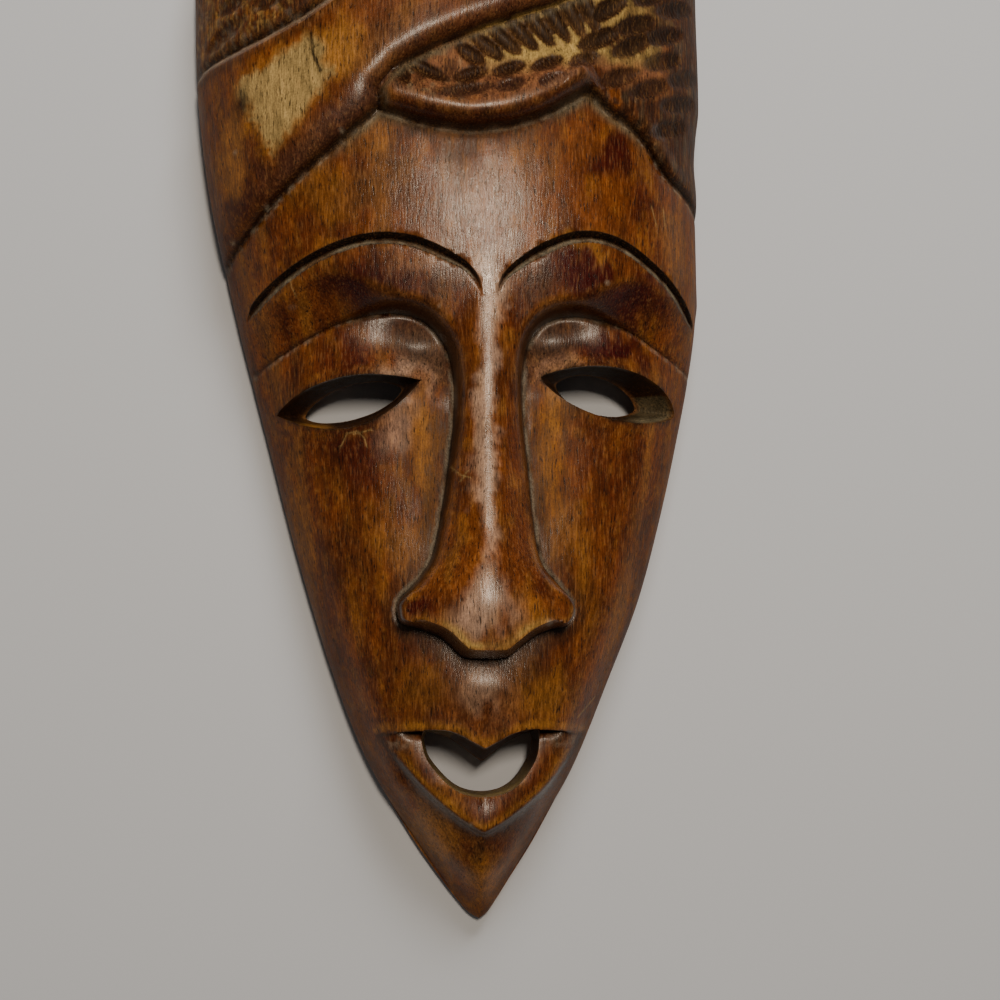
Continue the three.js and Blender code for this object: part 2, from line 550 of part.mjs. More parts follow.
// Share of the step from the face up to the brow and the nose, from 0 on their edge to 1.
function edgeRise(x, y, inUpper) {
  const outer = smoothstep(Math.abs(x), EDGE_OUTER.from, EDGE_OUTER.to);
  const under = 1 - smoothstep(y, EDGE_UNDER.low, EDGE_UNDER.high);
  const onBrow = smoothstep(y, EDGE_SIDE.low, EDGE_SIDE.high);
  const above = lerp(EDGE_RUN.side, lerp(EDGE_RUN.brow, EDGE_RUN.outer, outer), onBrow);
  const wing = smoothstep(Math.abs(x), WING.from, WING.to) * (1 - smoothstep(y, WING.low, WING.high));
  const run = lerp(lerp(above, EDGE_RUN.under, under), EDGE_RUN.wing, wing);
  const flat = Math.max(outer, UNDER_FLATNESS * under);
  return lerp(roll(inUpper, run), clamp(inUpper / run, 0, 1), flat);
}

// Height of the front surface above the back rim.
function front(x, y) {
  const r = blankRadius(x, y);
  const inUpper = upperDepth(x, y);
  const crease = CREASE.deep * smoothstep(y, EDGE_UNDER.low, EDGE_UNDER.high) * bell(inUpper, CREASE.wide);
  const face = faceLevel(x, y, r);
  if (inUpper <= 0) return face - crease;
  return lerp(face, upperLevel(x, y, r), edgeRise(x, y, inUpper)) - crease;
}

// Height of the hollow's surface above the back rim.
function hollow(x, y) {
  const r = radius(hollowLoop, x, y, HOLLOW_CHIN_CENTRE, HOLLOW_SHOULDER);
  return HOLLOW_CREST(y) * arch(r, HOLLOW_FULLNESS);
}

// A lid's height over the line between the corners of an eye.
function lid(share, height, outerFullness, innerFullness) {
  const peak = outerFullness / (outerFullness + innerFullness);
  const shape = (t) => t ** outerFullness * (1 - t) ** innerFullness;
  return (height * shape(share)) / shape(peak);
}

// A pointed lens from the outer corner along the lower lid and back along the upper lid.
function lens({ outer, inner, upper, lower }) {
  const from = new THREE.Vector2(...outer);
  const across = new THREE.Vector2(...inner).sub(from);
  const up = new THREE.Vector2(-across.y, across.x).normalize();
  if (up.y < 0) up.negate();
  const loop = Array.from({ length: EYE_POINTS }, (_, i) => {
    const turn = (2 * Math.PI * i) / EYE_POINTS;
    const share = clamp((1 - Math.cos(turn)) / 2, 0, 1);
    const rise = Math.sin(turn) > 0 ? -lid(share, ...lower) : lid(share, ...upper);
    return from.clone().addScaledVector(across, share).addScaledVector(up, rise).toArray();
  });
  return across.x > 0 ? loop : loop.reverse();
}

// The mouth opening: the upper lip's edge from right to left, with its tooth reaching down by the
// given drop, and then the lower curve from left to right.
function mouthLoop(lift, toothDrop, shrink) {
  const left = OPENING_LOWER[0][0] * shrink;
  const right = OPENING_LOWER.at(-1)[0] * shrink;
  const upper = Array.from({ length: OPENING_POINTS }, (_, i) => {
    const x = lerp(right, left, (i + 1) / (OPENING_POINTS + 1));
    const droop = toothDrop * Math.max(0, 1 - Math.abs(x) / right);
    return [x, lipHeight(x) + lift - droop];
  });
  const [middleX, middleY] = OPENING_MIDDLE;
  const lower = spline(OPENING_LOWER, OPENING_SPLINE_STEPS).map(([x, y]) => [
    lerp(middleX, x, shrink),
    lerp(middleY, y, shrink),
  ]);
  return [...upper, ...lower];
}

// A Delaunay net over scattered sites, as triples of indices. The sites are nudged while it is drawn,
// so that no four of them share a circle.
function delaunay(sites) {
  const points = sites.map(([x, y], i) => [x + SITE_NUDGE * scatter(i, 1), y + SITE_NUDGE * scatter(i, 2)]);
  const count = points.length;
  const size = 4 * LENGTH;
  points.push([-size, -size], [size, -size], [0, size]);
  const circle = (a, b, c) => {
    const [ax, ay] = points[a];
    const bx = points[b][0] - ax;
    const by = points[b][1] - ay;
    const cx = points[c][0] - ax;
    const cy = points[c][1] - ay;
    const d = 2 * (bx * cy - by * cx);
    const ux = (cy * (bx * bx + by * by) - by * (cx * cx + cy * cy)) / d;
    const uy = (bx * (cx * cx + cy * cy) - cx * (bx * bx + by * by)) / d;
    return { corners: [a, b, c], x: ax + ux, y: ay + uy, reach: ux * ux + uy * uy };
  };
  let triangles = [circle(count, count + 1, count + 2)];
  for (let i = 0; i < count; i++) {
    const [x, y] = points[i];
    const edges = new Map();
    const kept = [];
    for (const t of triangles) {
      if ((x - t.x) ** 2 + (y - t.y) ** 2 >= t.reach) {
        kept.push(t);
        continue;
      }
      const [a, b, c] = t.corners;
      for (const [from, to] of [[a, b], [b, c], [c, a]]) {
        const twin = `${to} ${from}`;
        if (edges.has(twin)) edges.delete(twin);
        else edges.set(`${from} ${to}`, [from, to]);
      }
    }
    for (const [from, to] of edges.values()) kept.push(circle(from, to, i));
    triangles = kept;
  }
  return triangles.map((t) => t.corners).filter((corners) => corners.every((c) => c < count));
}

// Collects sites between an outer loop and its holes, each at its own least distance from those before it.
class Field {
  constructor(outer, holes, margins) {
    this.loops = [outer, ...holes];
    this.margins = margins;
    this.sites = this.loops.flat();
  }
  holds(x, y) {
    return isInside(this.loops[0], x, y) && !this.loops.slice(1).some((hole) => isInside(hole, x, y));
  }
  nearLoop(x, y) {
    return this.loops.some((loop, i) => nearest([...loop, loop[0]], x, y).distance < this.margins[i]);
  }
  add(x, y, gap) {
    const crowded = this.sites.some(([sx, sy]) => Math.hypot(x - sx, y - sy) < gap);
    if (!crowded && this.holds(x, y) && !this.nearLoop(x, y)) this.sites.push([x, y]);
  }
  // Rows of sites beside a line, staggered from row to row. Positive offsets are on its left.
  addRows(line, { offsets, step, gap }) {
    const path = new THREE.CurvePath();
    const corners = line.map(([x, y]) => new THREE.Vector2(x, y));
    corners.slice(1).forEach((corner, i) => path.add(new THREE.LineCurve(corners[i], corner)));
    const count = Math.max(2, Math.round(path.getLength() / step));
    offsets.forEach((offset, row) => {
      for (let i = 0; i <= count; i++) {
        const t = clamp((i + (row % 2) / 2) / count, 0, 1);
        const at = path.getPointAt(t);
        const ahead = path.getTangentAt(t);
        this.add(at.x - ahead.y * offset, at.y + ahead.x * offset, gap);
      }
    });
  }
  addScoop(s) {
    const place = (u, v) => {
      const x = s.x + s.long * u * Math.cos(s.heading) - s.wide * v * Math.sin(s.heading);
      const y = s.y + s.long * u * Math.sin(s.heading) + s.wide * v * Math.cos(s.heading);
      if (scoopClearance(x, y) > SCOOP_SITES.clearance) this.add(x, y, SCOOP_SITES.gap);
    };
    for (const u of SCOOP_SITES.spine) place(u, 0);
    for (let i = 0; i < SCOOP_SITES.around; i++) {
      const turn = (2 * Math.PI * i) / SCOOP_SITES.around;
      place(Math.cos(turn), Math.sin(turn));
    }
  }
  addFill(step) {
    const xs = this.loops[0].map(([x]) => x);
    const ys = this.loops[0].map(([, y]) => y);
    const rowHeight = (step * Math.sqrt(3)) / 2;
    let shift = 0;
    for (let y = Math.min(...ys); y < Math.max(...ys); y += rowHeight) {
      for (let x = Math.min(...xs) + shift; x < Math.max(...xs); x += step) this.add(x, y, FILL_GAP * step);
      shift = step / 2 - shift;
    }
  }
  triangles() {
    return delaunay(this.sites).filter((corners) => {
      const x = corners.reduce((sum, c) => sum + this.sites[c][0], 0) / 3;
      const y = corners.reduce((sum, c) => sum + this.sites[c][1], 0) / 3;
      return this.holds(x, y);
    });
  }
}

// Gathers vertices and triangles of one closed body.
class Body {
  constructor() {
    this.positions = [];
    this.faces = [];
  }
  point(x, y, z) {
    return this.positions.push(x, y, z) / 3 - 1;
  }
  surface(sites, level) {
    return sites.map(([x, y]) => this.point(x, y, level(x, y)));
  }
  // A strip between two loops of as many vertices. The first loop runs counter-clockwise seen from outside.
  strip(lower, upper) {
    for (let i = 0; i < lower.length; i++) {
      const j = (i + 1) % lower.length;
      this.faces.push([lower[i], lower[j], upper[j]], [lower[i], upper[j], upper[i]]);
    }
  }
  geometry() {
    const made = new THREE.BufferGeometry();
    made.setAttribute("position", new THREE.Float32BufferAttribute(this.positions, 3));
    made.setIndex(this.faces.flat());
    return made;
  }
}

// The net of the front between the outermost ring and the holes of the eyes and the mouth.
function frontField(ring, holes) {
  const field = new Field(ring, holes, FRONT_MARGINS);
  field.addRows(upperLip, UPPER_LIP_ROWS);
  field.addRows(lowerLip, LOWER_LIP_ROWS);
  field.addRows(spline(NOSE_BOTTOM), NOSE_ROWS);
  field.addRows(upperEdge, SOCKET_ROWS);
  for (const { line, up } of browCuts) {
    const heights = [0, BROW_CUT.above, -BROW_CUT.below, BROW_ROWS.above, -BROW_ROWS.below];
    field.addRows(line, { ...BROW_ROWS, offsets: heights.map((height) => up * height) });
  }
  field.addRows(CHIN_RIDGE, CHIN_ROWS);
  field.addRows(hairline, HAIRLINE_ROWS);
  field.addRows(rolledEdge, ROLL_ROWS);
  field.addRows(bandEdge, BAND_EDGE_ROWS);
  field.addRows(bandBack, BAND_BACK_ROWS);
  field.addRows(NOSE_LINE, NOSE_SIDE_ROWS);
  for (const scoop of hairScoops) field.addScoop(scoop);
  const [leftEye, rightEye] = holes;
  for (const eye of [leftEye, rightEye]) field.addRows([...eye, eye[0]], EYE_ROWS);
  field.addFill(FILL_STEP);
  return field;
}

// A loop drawn in towards the crest line to the given share of its size.
function drawnIn(loop, share, low, high) {
  return loop.map(([x, y]) => {
    const [cx, cy] = crestPoint(y, low, high);
    return [lerp(cx, x, share), lerp(cy, y, share)];
  });
}

// The holes' edges in the front surface and in the hollow, all counter-clockwise seen from the front.
function openings() {
  const inFront = [lens(EYE_LEFT.front), lens(EYE_RIGHT.front), mouthLoop(OPENING_LIFT.front, 0, 1)];
  const behind = [
    lens(EYE_LEFT.back),
    lens(EYE_RIGHT.back),
    mouthLoop(OPENING_LIFT.back, OPENING_TOOTH_DROP, OPENING_BACK_SHRINK),
  ];
  return { inFront, behind };
}

// The sides from the back rim up and over to the front's net. Returns the rim's vertices and the net's.
function addFront(body, holes) {
  const rings = FRONT_RINGS.map((share) => drawnIn(blankLoop, share, CHIN_CENTRE, SHOULDER));
  const net = frontField(rings[0], holes);
  const netIds = body.surface(net.sites, front);
  for (const face of net.triangles()) body.faces.push(face.map((c) => netIds[c]));
  let inner = netIds.slice(0, blankLoop.length);
  for (const ring of rings.slice(1)) {
    const ids = body.surface(ring, (x, y) => Math.max(front(x, y), RIM_HEIGHT));
    body.strip(ids, inner);
    inner = ids;
  }
  const rim = body.surface(blankLoop, () => 0);
  body.strip(rim, inner);
  return { rim, holeIds: netIds.slice(blankLoop.length) };
}

// The hollow, seen from behind. Returns its vertices in the back face and round the holes.
function addHollow(body, holes) {
  const rings = HOLLOW_RINGS.map((share) => drawnIn(hollowLoop, share, HOLLOW_CHIN_CENTRE, HOLLOW_SHOULDER));
  const net = new Field(rings.at(-1), holes, HOLLOW_MARGINS);
  net.addFill(HOLLOW_STEP);
  const netIds = body.surface(net.sites, hollow);
  for (const [a, b, c] of net.triangles()) body.faces.push([netIds[a], netIds[c], netIds[b]]);
  const rim = body.surface(rings[0], () => 0);
  const middle = body.surface(rings[1], hollow);
  body.strip(middle, rim);
  body.strip(netIds.slice(0, hollowLoop.length), middle);
  return { rim, holeIds: netIds.slice(hollowLoop.length) };
}

// The flat back rim between the blank's edge and the hollow's.
function addRim(body, outer, inner) {
  const corners = (loop) => loop.map(([x, y]) => new THREE.Vector2(x, y));
  const ids = [...outer, ...inner];
  for (const [a, b, c] of THREE.ShapeUtils.triangulateShape(corners(blankLoop), [corners(hollowLoop)]))
    body.faces.push([ids[a], ids[c], ids[b]]);
}

function maskGeometry() {
  const body = new Body();
  const { inFront, behind } = openings();
  const face = addFront(body, inFront);
  const back = addHollow(body, behind);
  let start = 0;
  for (const hole of inFront) {
    const end = start + hole.length;
    body.strip(face.holeIds.slice(start, end), back.holeIds.slice(start, end));
    start = end;
  }
  addRim(body, face.rim, back.rim);
  return body.geometry();
}

// The mask lies in the middle of its own box, on its back rim.
const geometry = maskGeometry();
geometry.computeBoundingBox();
const { min, max } = geometry.boundingBox;
geometry.translate(-(min.x + max.x) / 2, -(min.y + max.y) / 2, -min.z);
geometry.computeVertexNormals();

const waxedWood = new THREE.MeshStandardMaterial({ color: 0x7a4420, roughness: 0.42, metalness: 0 });
const mask = new THREE.Mesh(geometry, waxedWood);
mask.name = "mask";

const part = new THREE.Group();
part.add(mask);

export default part;
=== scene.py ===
# The look of a carved and waxed wooden face mask, lying on a pale floor with its face up.
# The carving is drawn in millimetres in the carver's frame: x across from the nose ridge, y up
# from the chin tip towards the crown, z out of the face from the back rim. Left is -x.
import math

import bpy
import numpy as np
from mathutils import Matrix, Vector
from mathutils.geometry import delaunay_2d_cdt


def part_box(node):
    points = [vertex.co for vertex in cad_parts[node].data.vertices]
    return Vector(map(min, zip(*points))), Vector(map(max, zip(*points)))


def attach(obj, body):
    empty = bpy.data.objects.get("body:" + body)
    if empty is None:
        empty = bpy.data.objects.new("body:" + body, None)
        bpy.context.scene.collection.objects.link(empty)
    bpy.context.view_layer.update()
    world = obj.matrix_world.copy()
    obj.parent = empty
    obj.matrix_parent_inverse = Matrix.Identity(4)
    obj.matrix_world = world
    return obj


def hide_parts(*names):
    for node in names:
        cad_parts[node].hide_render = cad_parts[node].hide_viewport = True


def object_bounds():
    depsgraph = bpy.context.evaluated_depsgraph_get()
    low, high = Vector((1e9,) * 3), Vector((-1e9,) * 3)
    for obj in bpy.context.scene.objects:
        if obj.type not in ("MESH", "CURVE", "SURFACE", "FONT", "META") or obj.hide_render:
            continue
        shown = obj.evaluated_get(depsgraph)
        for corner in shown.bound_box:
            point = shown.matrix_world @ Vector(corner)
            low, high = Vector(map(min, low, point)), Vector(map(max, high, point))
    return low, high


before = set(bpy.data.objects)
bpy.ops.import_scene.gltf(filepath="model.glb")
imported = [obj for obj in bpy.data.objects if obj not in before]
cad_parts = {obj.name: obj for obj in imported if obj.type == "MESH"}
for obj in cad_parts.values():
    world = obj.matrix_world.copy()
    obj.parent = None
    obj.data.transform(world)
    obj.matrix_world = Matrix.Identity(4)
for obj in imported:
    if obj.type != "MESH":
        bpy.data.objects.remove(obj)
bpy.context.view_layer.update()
low_corner, high_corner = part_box("mask")

# Driving sizes of the blank
LENGTH = 390
CHIN_CENTRE = 45
SHOULDER = 300
CROWN_X = -11
CROWN_TURN = 225
RIM_HEIGHT = 5
RIM_WIDTH = 9


def hermite(t, rise, start, end):
    """A cubic from 0 to the rise, with the given slopes at its ends."""
    return t * (start + t * (3 * rise - 2 * start - end + t * (start + end - 2 * rise)))


def profile(stations):
    """A smooth curve of values through [position, value] stations, level beyond the ends."""
    at, value = np.array(stations, float).T
    before = np.maximum(np.arange(len(at)) - 1, 0)
    after = np.minimum(np.arange(len(at)) + 1, len(at) - 1)
    slope = (value[after] - value[before]) / (at[after] - at[before])

    def level(position):
        x = np.clip(position, at[0], at[-1])
        i = np.clip(np.searchsorted(at, x, side="right") - 1, 0, len(at) - 2)
        span = at[i + 1] - at[i]
        rise = value[i + 1] - value[i]
        return value[i] + hermite((x - at[i]) / span, rise, slope[i] * span, slope[i + 1] * span)

    return level


# Half widths of the blank, left and right of the nose ridge, as [height, width]
LEFT_WIDTH = profile([
    [0, 0], [1.2, 2.5], [6, 6.9], [13, 12.4], [26, 21.6], [51, 36.4], [77, 47], [116, 59.2],
    [155, 69.6], [195, 80], [235, 88.8], [270, 93.2], [SHOULDER, 94.3],
])
RIGHT_WIDTH = profile([
    [0, 0], [1.2, 2.1], [6, 5.5], [13, 10], [26, 18.2], [51, 31.4], [77, 42.2], [103, 52.4],
    [130, 59.8], [156, 65.6], [183, 70.6], [202, 72.2], [236, 72], [247, 71.3],
    [256, 71.9], [266, 73], [SHOULDER, 72.3],
])

# Heights above the back rim along the crest of the front, as [height, level]
DOME_CREST = profile([[150, 42], [180, 47], [205, 51], [240, 53], [SHOULDER, 52]])
FACE_CREST = profile([
    [0, 12], [13, 21], [28, 30], [CHIN_CENTRE, 35], [62, 38], [85, 39.5], [115, 39], [150, 38], [200, 37],
])
NOSE_RIDGE = profile([[80, 59], [92, 60.5], [104, 61], [125, 58], [160, 54], [200, 51.5], [225, 50]])
NOSE_SLOPE = profile([[90, 0.36], [105, 0.5], [122, 0.86], [160, 0.95], [200, 0.6]])
NOSE_ROUND = profile([[90, 11], [105, 8], [122, 4], [200, 3.5]])
NOSE_ROOT = (200, 222)
NOSE_BLEND = 2
DOME_FULLNESS = 2.3
FACE_FULLNESS = 2.7

# Edge of the upper form: brow band and nose stand proud of sockets and cheeks
SOCKET_LEFT = [
    [-82, 171.6], [-73.6, 175.4], [-61.5, 182.2], [-47, 189.4], [-31, 192.9], [-20, 190.8],
    [-13, 183.6], [-10.2, 174], [-9.8, 162], [-11.2, 148], [-13.6, 131], [-16.6, 116.5], [-21.5, 108.4],
]
NOSE_BOTTOM = [
    [-26.7, 102.8], [-27.3, 99], [-26, 95.4], [-20.4, 93.7], [-14.1, 91.2], [-9.5, 87], [-6.4, 84.9],
    [0, 84.5], [6.4, 84.9], [10.7, 88], [15.4, 91.5], [20.2, 93.5], [25, 94.6], [27.2, 98.4], [26.8, 102.4],
]
SOCKET_RIGHT = [
    [22.6, 107.6], [17.4, 114.6], [15.2, 126], [13.4, 144], [11.8, 160], [11.7, 172.5],
    [13.8, 183.5], [19, 190.2], [27, 192.6], [37, 191.4], [47, 188.2], [57, 182.6], [67, 177.4], [80, 172.6],
]
EDGE_RUN = {"brow": 4.5, "outer": 15, "side": 3, "under": 3, "wing": 1.2}
EDGE_OUTER = (26, 52)
EDGE_SIDE = (166, 186)
EDGE_UNDER = (92, 99)
UNDER_FLATNESS = 0.75
WING_ENDS = (20, 24)
WING_TOP = (104, 110)
CREASE = {"deep": 0.7, "wide": 0.75}

# V cuts over the brows, from the outer end to the inner end
BROW_LEFT = [
    [-76, 191.6], [-71, 197.9], [-58, 206.8], [-45.5, 212.2], [-33.2, 214.3],
    [-20.9, 212.4], [-8.6, 206.5], [-3.6, 201.6], [-1.9, 196.6],
]
BROW_RIGHT = [
    [70.6, 190.6], [63.8, 199.2], [55.9, 206.2], [42, 214.2], [29, 215.6],
    [16.1, 210.6], [6.9, 203.9], [3.9, 199.8], [3, 196.2],
]
BROW_CUT = {"depth": 3, "above": 1.3, "below": 2.1}
BROW_ENDS = {"outer": 0.07, "inner": 0.74, "least": 0.14}
BROW_STEPS = 48

# Eyes: corners, then each lid's greatest height over the line between them and its fullness at the
# outer and the inner corner, in front and at the back
EYES = {
    "left": {
        "front": ([-65.8, 161.8], [-20.1, 171.6], (6.1, 0.8, 1), (10.1, 1, 1)),
        "back": ([-57, 162.4], [-26, 170.4], (5.4, 0.65, 0.65), (5.4, 0.65, 0.65)),
    },
    "right": {
        "front": ([62.8, 163], [17.6, 172.9], (8.8, 0.6, 0.85), (7.9, 0.7, 0.7)),
        "back": ([50.6, 165.6], [23.6, 172], (6.2, 0.65, 0.65), (5.6, 0.65, 0.65)),
    },
}
EYE_POINTS = 96

# Soft swells and pits of the face: place, width, height of the bell, and how far it rises
FACE_FORMS = [
    ([-40, 167], 21, 11, 3.4),
    ([39, 169.5], 20, 11, 3.4),
    ([-19, 182], 13, 10, -4.6),
    ([20, 184], 13, 10, -4.6),
    ([0, 74], 17, 12, 3.6),
]

# Mouth
LIP_HALF_WIDTH = 31
LIP_TAPER = 0.35
MOUTH_CORNER_LEFT = [-32.4, 61]
MOUTH_CORNER_RIGHT = [30.6, 60.9]
TOOTH = [0, 56.6]
UPPER_LIP_LEFT = [MOUTH_CORNER_LEFT, [-23, 62.1], [-13, 62.3], [-8.6, 61.2], [-4.4, 59], TOOTH]
UPPER_LIP_RIGHT = [TOOTH, [4.4, 59], [8.6, 61.2], [14, 62.4], [22, 62.3], MOUTH_CORNER_RIGHT]
LOWER_LIP_LEFT = [MOUTH_CORNER_LEFT, [-27.2, 54.4], [-18, 44.2], [-8.6, 36], [0.2, 30.4]]
LOWER_LIP_RIGHT = [[0.2, 30.4], [8.6, 35.2], [19, 43.8], [27.4, 54.4], MOUTH_CORNER_RIGHT]
UPPER_LIP_SWELL = {"high": 1.4, "wide": 5}
LOWER_LIP_DISH = {"deep": 6, "run": 12, "ease": 1.25}
LOWER_LIP_STEP = {"deep": 3.4, "run": 2, "fade_from": 3, "fade_to": 15}
UNDER_TOOTH = {"deep": 1.4, "run": 3}
OPENING_LOWER = [[-19.6, 59], [-17.3, 52.2], [-9, 43.6], [0.6, 41.2], [9.8, 44], [16.2, 52.4], [17.6, 59]]
OPENING_LIFT = {"front": 0.4, "back": -1.6}
OPENING_TOOTH_DROP = 3.6
OPENING_MIDDLE = [-1, 52]
OPENING_BACK_SHRINK = 0.93
OPENING_POINTS = 49
CHIN_RIDGE = [[0, 3], [0, 28]]
NOSE_LINE = [[0, 88], [0, 206]]
CHIN_KEEL = {"low": 22, "high": 46, "slope": 0.3, "soft": 1.5}

# Hair: the groove round the forehead, the smooth band swept over the left side, the rolled edge
HAIR_CORNER = [-34, 254]
HAIR_PEAK = [31.6, 261.6]
HAIRLINE_LEFT = [
    [-98, 195], [-82.5, 210.8], [-70.6, 222.8], [-58, 234.6], [-46, 244], [-38, 250.4], HAIR_CORNER,
]
HAIRLINE_MIDDLE = [
    HAIR_CORNER, [-27.3, 251.6], [-17, 248.8], [-5.8, 247.4],
    [6, 248.8], [16, 252.2], [24, 256.8], HAIR_PEAK,
]
HAIRLINE_RIGHT = [HAIR_PEAK, [38.5, 255.6], [48.4, 249.8], [57.6, 238.8], [68.4, 232], [84, 220]]
BAND_EDGE = [
    [-34.4, 259.6], [-27.6, 267.2], [-15.4, 274.2], [-2.7, 279.6], [10, 284.4],
    [24, 290], [42, 300], [55, 315], [63, 336], [72, 352],
]
BAND_BACK = [
    [-102, 269], [-91.7, 272.4], [-78, 275.6], [-65, 280], [-52, 286.6],
    [-36, 299], [-18, 316], [-3, 338], [5, 362], [10, 400],
]
ROLLED_EDGE = [
    [-34.4, 260.6], [-26, 257.2], [-15, 254.4], [-6, 253], [4, 255], [15, 258.8], [26, 262.8], [34, 266.4],
]
GROOVE = {"deep": 1.1, "wide": 1.3}
BAND = {"raise": 6, "run": 13, "edge_run": 7, "edge_share": 0.3}
BAND_EDGE_CUT = {"deep": 1.6, "wide": 1.5}
BAND_BACK_CUT = {"deep": 1.8, "wide": 1.1, "at": 0.8}
BAND_BACK_STEP = {"from": -2.8, "to": 0.4, "drop": 0.4}
HAIR = {"raise": 3.4, "run": 5, "recess": 0.5, "recess_end": 10, "full_from": 38}
ROLL = {"raise": 5.4, "run": 6.4, "fall": 7.5, "along": ((0, 0.1), (0.9, 1))}
ROLL_POWER = 2.2
FAR = 500

# Hollow back
HOLLOW_CREST = profile([[50, 18], [75, 22], [110, 25], [180, 25], [225, 33], [290, 36]])
HOLLOW_BOTTOM = 24
HOLLOW_TIP = 5
HOLLOW_SHOULDER = 288
HOLLOW_TOP = 350
HOLLOW_CHIN_CENTRE = 60
HOLLOW_FULLNESS = 2.6
GOUGE = {"wide": 8.5, "deep": 0.7, "least": 0.35, "fade": (6, 14)}
GOUGE_SWAY = [(0.5, 24, 97, 1.5)]
GOUGE_PRESS = [(1, 24, 98)]

# Gouge scoops in the hair: half length, half width, depth
SCOOP = {"long": 7.9, "wide": 2.9, "deep": 1.7}
SCOOP_ROW = 6.7
SCOOP_PITCH = 16
SCOOP_JITTER = {"along": 2, "across": 0.7, "turn": 0.12}
SCOOP_ROUND = 0.7
SCOOP_FADE = (0.6, 2.4)
SCOOP_REACH = 0.92
RIGHT_ROWS = {"at": (48.5, 285.6), "heading": 0.5, "left": 33, "off_band": 4.2, "off_groove": 5.5}
LEFT_ROWS = {"at": (-60, 310), "heading": 0.5, "off_band": 4.5}
ROW_SPAN = {"along": 8, "down": -14, "up": 14}
FAN = {"count": 8, "from": (-5.6, 270.4), "to": (30.8, 288), "heading": -0.56, "turn": -0.6}
FAN_SCOOP = {"long": 5.2, "longer": 4.6, "wide": 2.5, "deep": 1.5}
FAN_CORNER = [(-19.5, 265, 7.4, 2.3, -0.48), (-26.6, 263.6, 4.4, 1.9, -1.2)]
RIM_ROWS = [
    {"count": 3, "from": (-6.9, 258.2), "to": (19.4, 262), "long": 8, "shorter": 3.4, "heading": 0.22},
    {"count": 4, "from": (-5.6, 263.8), "to": (29.6, 269.8), "long": 5.4, "shorter": 0, "heading": 0.32},
]
RIM_SCOOP = {"wide": 2.3, "deep": 1.3, "turn": 0.16}
# Unevenness left by the tools: reach, size, seed and stretch along the grain of each noise
UNEVEN = [(0.16, 10, 86, 1.6), (0.07, 4.5, 87, 1.8)]
CUT_RAGGED = [(0.22, 1.7, 80)]
BEHIND_ROUGH = [(0.45, 4.2, 84), (0.3, 1.9, 85)]
BEHIND_ROUGH_FROM = (1.5, 4)
NOSE_WORN = {"deep": 0.7, "wide": 3.4, "along": ((108, 124), (196, 212))}
CHATTER = {"pitch": 1.15, "rim": 0.2, "rows": 0.12, "fan": 0}

# Small flecks of dust, fine scratches and slits in the wood
FLECKS = [
    ((-78.6, 242.8), 0.5), ((-68.5, 225.5), 0.7), ((-73, 219.5), 0.6), ((-80, 216.5), 0.6),
    ((-45, 246.6), 0.6), ((18.5, 95.6), 0.9), ((-4, 32.6), 0.6), ((38, 201.4), 0.5),
    ((-14.6, 192.8), 0.4), ((-60.5, 194.6), 0.5),
]
SCRATCHES = [
    [[-61, 203], [-60.8, 200.6], [-59.8, 198.8]],
    [[-44.8, 151.4], [-43.2, 154.8], [-40, 155.6], [-37.8, 153.4], [-37, 150.8]],
    [[-41, 154.6], [-36, 155.8]],
    [[52.5, 227.5], [53.4, 225], [54.2, 222.5]],
    [[57, 227], [57.6, 222]],
    [[-11, 143.4], [-8.4, 140.6], [-5.4, 139.6]],
    [[-6.4, 141.6], [-8.2, 139]],
    [[30, 66], [36, 72]],
]
SLITS = [([-54.6, 276.6], [-54, 270]), ([-54, 270], [-51.6, 264.6])]
SCRATCH_WIDTH = 0.22
SLIT_WIDTH = 0.45

# Spacing of the mesh
LOOP_STEP = 1.3
HOLLOW_STEP = 1.5  # times the front's step
FRONT_SHARE = 0.955  # where the front's net ends and the rings of the sides begin
SIDE_RINGS = 12
WALL_RINGS = 4
HOLE_RINGS = 6
FRONT_FILL = 1.3
HAIR_FILL = 0.85
RIM_FILL = 0.48
RIM_FINE = (250, 62)  # the finest net lies above this height and left of this place
HOLLOW_FILL = 1.5
BACK_FILL = 2.5
FILL_CLEAR = 0.7  # how clear of other points a fill's points stay, as a share of its spacing
RIM_CLEAR = 0.8
SMOOTH_BAND = 2  # the band needs no fine net this far inside its edges
HOLLOW_RINGS = 8
HOLLOW_SHARE = 0.95  # where the hollow's rings end and its net begins
SEARCH_CELL = 1.4  # the cells that near points are looked up in
NET_EPSILON = 1e-5  # points nearer than this are one point
COARSE = 1.0

TINY = 1e-6


def smoothstep(x, low, high):
    t = np.clip((x - low) / (high - low), 0, 1)
    return t * t * (3 - 2 * t)


def lerp(a, b, share):
    return a + (b - a) * share


def plateau(x, rise, fall):
    """1 between a soft rise and a soft fall, each given by its two ends."""
    return smoothstep(x, *rise) * (1 - smoothstep(x, *fall))


def bell(distance, wide):
    return np.exp(-((distance / wide) ** 2))


def roll(distance, run):
    """A rounded rise from 0 at the edge to 1 at the given run behind it."""
    return np.sqrt(1 - (1 - np.clip(distance / run, 0, 1)) ** ROLL_POWER)


def spline(points, steps=8):
    p = np.array([points[0], *points, points[-1]], float)
    t = np.arange(steps)[:, None] / steps
    parts = []
    for p0, p1, p2, p3 in zip(p, p[1:], p[2:], p[3:]):
        parts.append(p1 + hermite(t, p2 - p1, (p2 - p0) / 2, (p3 - p1) / 2))
    return np.vstack([*parts, p[-1:]])


def along_line(line, share):
    """The points at the given shares of a line's length."""
    steps = np.hypot(*np.diff(line, axis=0).T)
    run = np.r_[0, np.cumsum(steps)]
    return np.stack([np.interp(share * run[-1], run, axis) for axis in line.T], 1)


